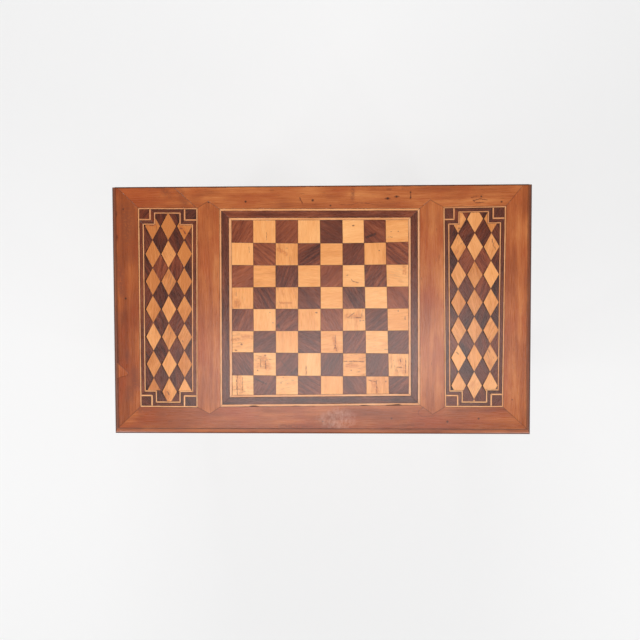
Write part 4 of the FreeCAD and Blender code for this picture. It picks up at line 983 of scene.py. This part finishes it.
def endOutline(side):
    outer = [mitreEnd(side, -1), (side * frameEnd, -frameFront),
             (side * frameEnd, frameFront), mitreEnd(side, 1)]
    inner = [(side * panelOuter, edgeHalf), (side * panelOuter, -edgeHalf)]
    return list(dict.fromkeys(outer)) + inner  # without a mitre's end that is the corner itself


def stileOutline(side):
    return [(side * edgeHalf, -edgeHalf), stileTip(side, -1), (side * stileOuter, -edgeHalf),
            (side * stileOuter, edgeHalf), stileTip(side, 1), (side * edgeHalf, edgeHalf)]


scarfBack, scarfNear = [(x * mm, y * mm) for x, y in frameBoards["scarf"]]
backRail = railOutline(1)
scarfedLeft = [backRail[0], scarfBack, scarfNear, backRail[9]]
scarfedRight = [scarfBack] + backRail[1:9] + [scarfNear]
patch = [(x * mm, y * mm) for x, y in frameBoards["patch"]]
leftEnd = endOutline(-1)
patchedEnd = leftEnd[:1] + patch + leftEnd[1:]
woods["cherry"] = cherryBoards("old_cherry_boards")
boards = (  # outlines, the grain's angle, and the tone and stains of each outline
    ("front_rail", [railOutline(-1)], 0.0, [(0.41, 0.7)]),
    ("back_rail", [scarfedLeft, scarfedRight], 0.0, [(0.50, 0.5), (0.80, 0.35)]),
    ("left_end", [patchedEnd, patch], math.pi / 2, [(0.28, 0.8), (0.75, 0.2)]),
    ("right_end", [endOutline(1)], math.pi / 2, [(0.70, 0.1)]),
    ("left_stile", [stileOutline(-1)], math.pi / 2, [(0.66, 0.25)]),
    ("right_stile", [stileOutline(1)], math.pi / 2, [(0.76, 0.15)]),
)
for name, outlines, angle, tones in boards:
    placed = [onBoard(outline) for outline in outlines]
    cuts = [anyCut(angle, tone, marks) for tone, marks in tones]
    layPiece(f"{name}_board", placed, cuts, frameBoards, "cherry", f"top_{name}", fit=False)


# Pieces that keep their CAD shape: finish and eased edges

cherryAxes = {
    "X": ["back_apron", "lower_drawer_rail", "upper_drawer_rail", "drawer_front", "joint_pegs"],
    "Y": ["left_apron", "right_apron"],
    "Z": ["front_left_leg", "front_right_leg", "back_left_leg", "back_right_leg"],
}
pineAxes = {
    "X": ["drawer_back", "drawer_bottom", "drawer_stops", "glue_blocks"],
    "Y": ["left_drawer_runner", "right_drawer_runner", "left_tilt_rail", "right_tilt_rail", "drawer_guides",
          "drawer_left_side", "drawer_right_side"],
}
groundNodes = ["chess_ground_panel", "left_ground_panel", "right_ground_panel"]
brassNodes = ["pull_rosettes", "pull_posts", "left_pull_ring", "right_pull_ring", "keyhole_escutcheon",
              "escutcheon_pins", "pull_nuts"]
ironNodes = ["top_screws", "lock_screws", "lock_case", "lock_bolt", "key"]
# each moulding's grain, its inner edge and way out, where the painted shade on its arris starts, and its
# tone
mouldings = (("front_edge_moulding", "X", boardMiddle.y - frameFront, -1, 8.5, 0.10),
             ("left_edge_moulding", "Y", -frameEnd, -1, 2.0, -0.06),
             ("right_edge_moulding", "Y", frameEnd, 1, 2.0, -0.06))
easedEdge = {"wood": 0.6, "metal": 0.15, "sharpest": 40, "weld": 0.002}


def dress(names, material, kind):
    for name in names:
        piece = nodes[name]
        piece.data.materials.clear()
        piece.data.materials.append(material)
        weld = piece.modifiers.new("joined", "WELD")
        weld.merge_threshold = easedEdge["weld"] * mm
        bevel = piece.modifiers.new("eased", "BEVEL")
        bevel.width = easedEdge[kind] * mm
        bevel.segments = 2
        bevel.limit_method = "ANGLE"
        bevel.angle_limit = math.radians(easedEdge["sharpest"])


for name, *facts in mouldings:
    dress([name], mouldedCherry(f"cherry_{name}", *facts), "wood")
for axis, names in cherryAxes.items():
    dress(names, cherryWood(f"cherry_along_{axis}", axis), "wood")
for axis, names in pineAxes.items():
    dress(names, pineWood(f"pine_along_{axis}", axis), "wood")
dress(groundNodes, groundWood("glued_ground"), "wood")
dress(brassNodes, agedBrass("aged_brass"), "metal")
dress(ironNodes, darkIron("dark_iron"), "metal")
print("finishes on the pieces that keep their shape")


# Floor, light and camera

studio = {
    "floorRadius": 7.0, "wallHeight": 5.0, "cove": 1.5,
    "floorTone": 0.86, "floorGlow": 0.62, "backTone": 0.97, "fill": 0.15,
    "softboxes": {  # place, size and power; the strip overhead gives the polish its sheen
        "overhead_strip": ((0.05, -0.37, 2.95), (1.7, 0.55), 13.0),
        "right_softbox": ((2.3, -1.6, 2.2), (1.4, 1.4), 45.0),
        "left_softbox": ((-2.4, -1.0, 2.2), (1.4, 1.4), 45.0),
        "back_softbox": ((-0.3, 2.6, 2.4), (1.4, 1.4), 45.0),
    },
    "camera": {"place": (0.040, 0.034, 2.240), "turn": (-2.095, 1.570, -0.166), "lens": 37.41},
}


def grey(level):
    return (level, level, level, 1.0)


def paleFloor():  # a round floor that curves up into a wall
    bpy.ops.object.select_all(action="DESELECT")
    bpy.ops.mesh.primitive_circle_add(vertices=96, radius=studio["floorRadius"], fill_type="NGON")
    floor = bpy.context.object
    floor.name = "floor"
    bpy.ops.object.mode_set(mode="EDIT")
    bpy.ops.mesh.select_mode(type="EDGE")
    pickAll()
    bpy.ops.mesh.extrude_edges_move(TRANSFORM_OT_translate={"value": (0, 0, studio["wallHeight"])})
    pick("EDGE", lambda line: all(vert.co.z < 0.1 for vert in line.verts))
    bpy.ops.mesh.bevel(offset=studio["cove"], segments=10, affect="EDGES")
    bpy.ops.object.mode_set(mode="OBJECT")
    bpy.ops.object.shade_smooth()
    finish = Finish("pale_floor")
    finish.colour = grey(studio["floorTone"])
    finish.wear(0.9)
    path = finish.add("LightPath").socket.node.outputs
    rays = [Wire(finish, path[f"Is {kind} Ray"]) for kind in ("Camera", "Glossy", "Transmission")]
    seen = finish.math("MINIMUM", rays[0] + rays[1] + rays[2], 1.0)
    glow = finish.add("Emission", None, {"Color": grey(studio["backTone"])})
    body = Wire(finish, finish.shader.outputs[0])
    both = finish.add("MixShader", None, {0: seen * studio["floorGlow"], 1: body, 2: glow})
    finish.feed(finish.tree.nodes["Material Output"].inputs["Surface"], both)
    floor.data.materials.append(finish.material)


def dimWorld():
    world = bpy.data.worlds.new("studio")
    bpy.context.scene.world = world
    world.use_nodes = True
    world.node_tree.nodes["Background"].inputs["Color"].default_value = grey(studio["fill"])


def setUp(name, data, place, turn):
    holder = bpy.data.objects.new(name, data)
    bpy.context.scene.collection.objects.link(holder)
    holder.location = place
    holder.rotation_euler = turn
    return holder


def softbox(name, place, size, power):
    lamp = bpy.data.lights.new(name, "AREA")
    lamp.shape = "RECTANGLE"
    lamp.size, lamp.size_y = size
    lamp.energy = power
    setUp(name, lamp, place, (boardMiddle - Vector(place)).to_track_quat("-Z", "Y").to_euler())


def photoCamera(place, turn, lens):
    camera = bpy.data.cameras.new("camera")
    camera.sensor_width = 36.0
    camera.lens = lens
    bpy.context.scene.camera = setUp("camera", camera, place, [math.radians(angle) for angle in turn])


paleFloor()
dimWorld()
for name, facts in studio["softboxes"].items():
    softbox(name, *facts)
photoCamera(**studio["camera"])
bpy.context.scene.view_settings.view_transform = "Standard"
print("floor, light and camera set")
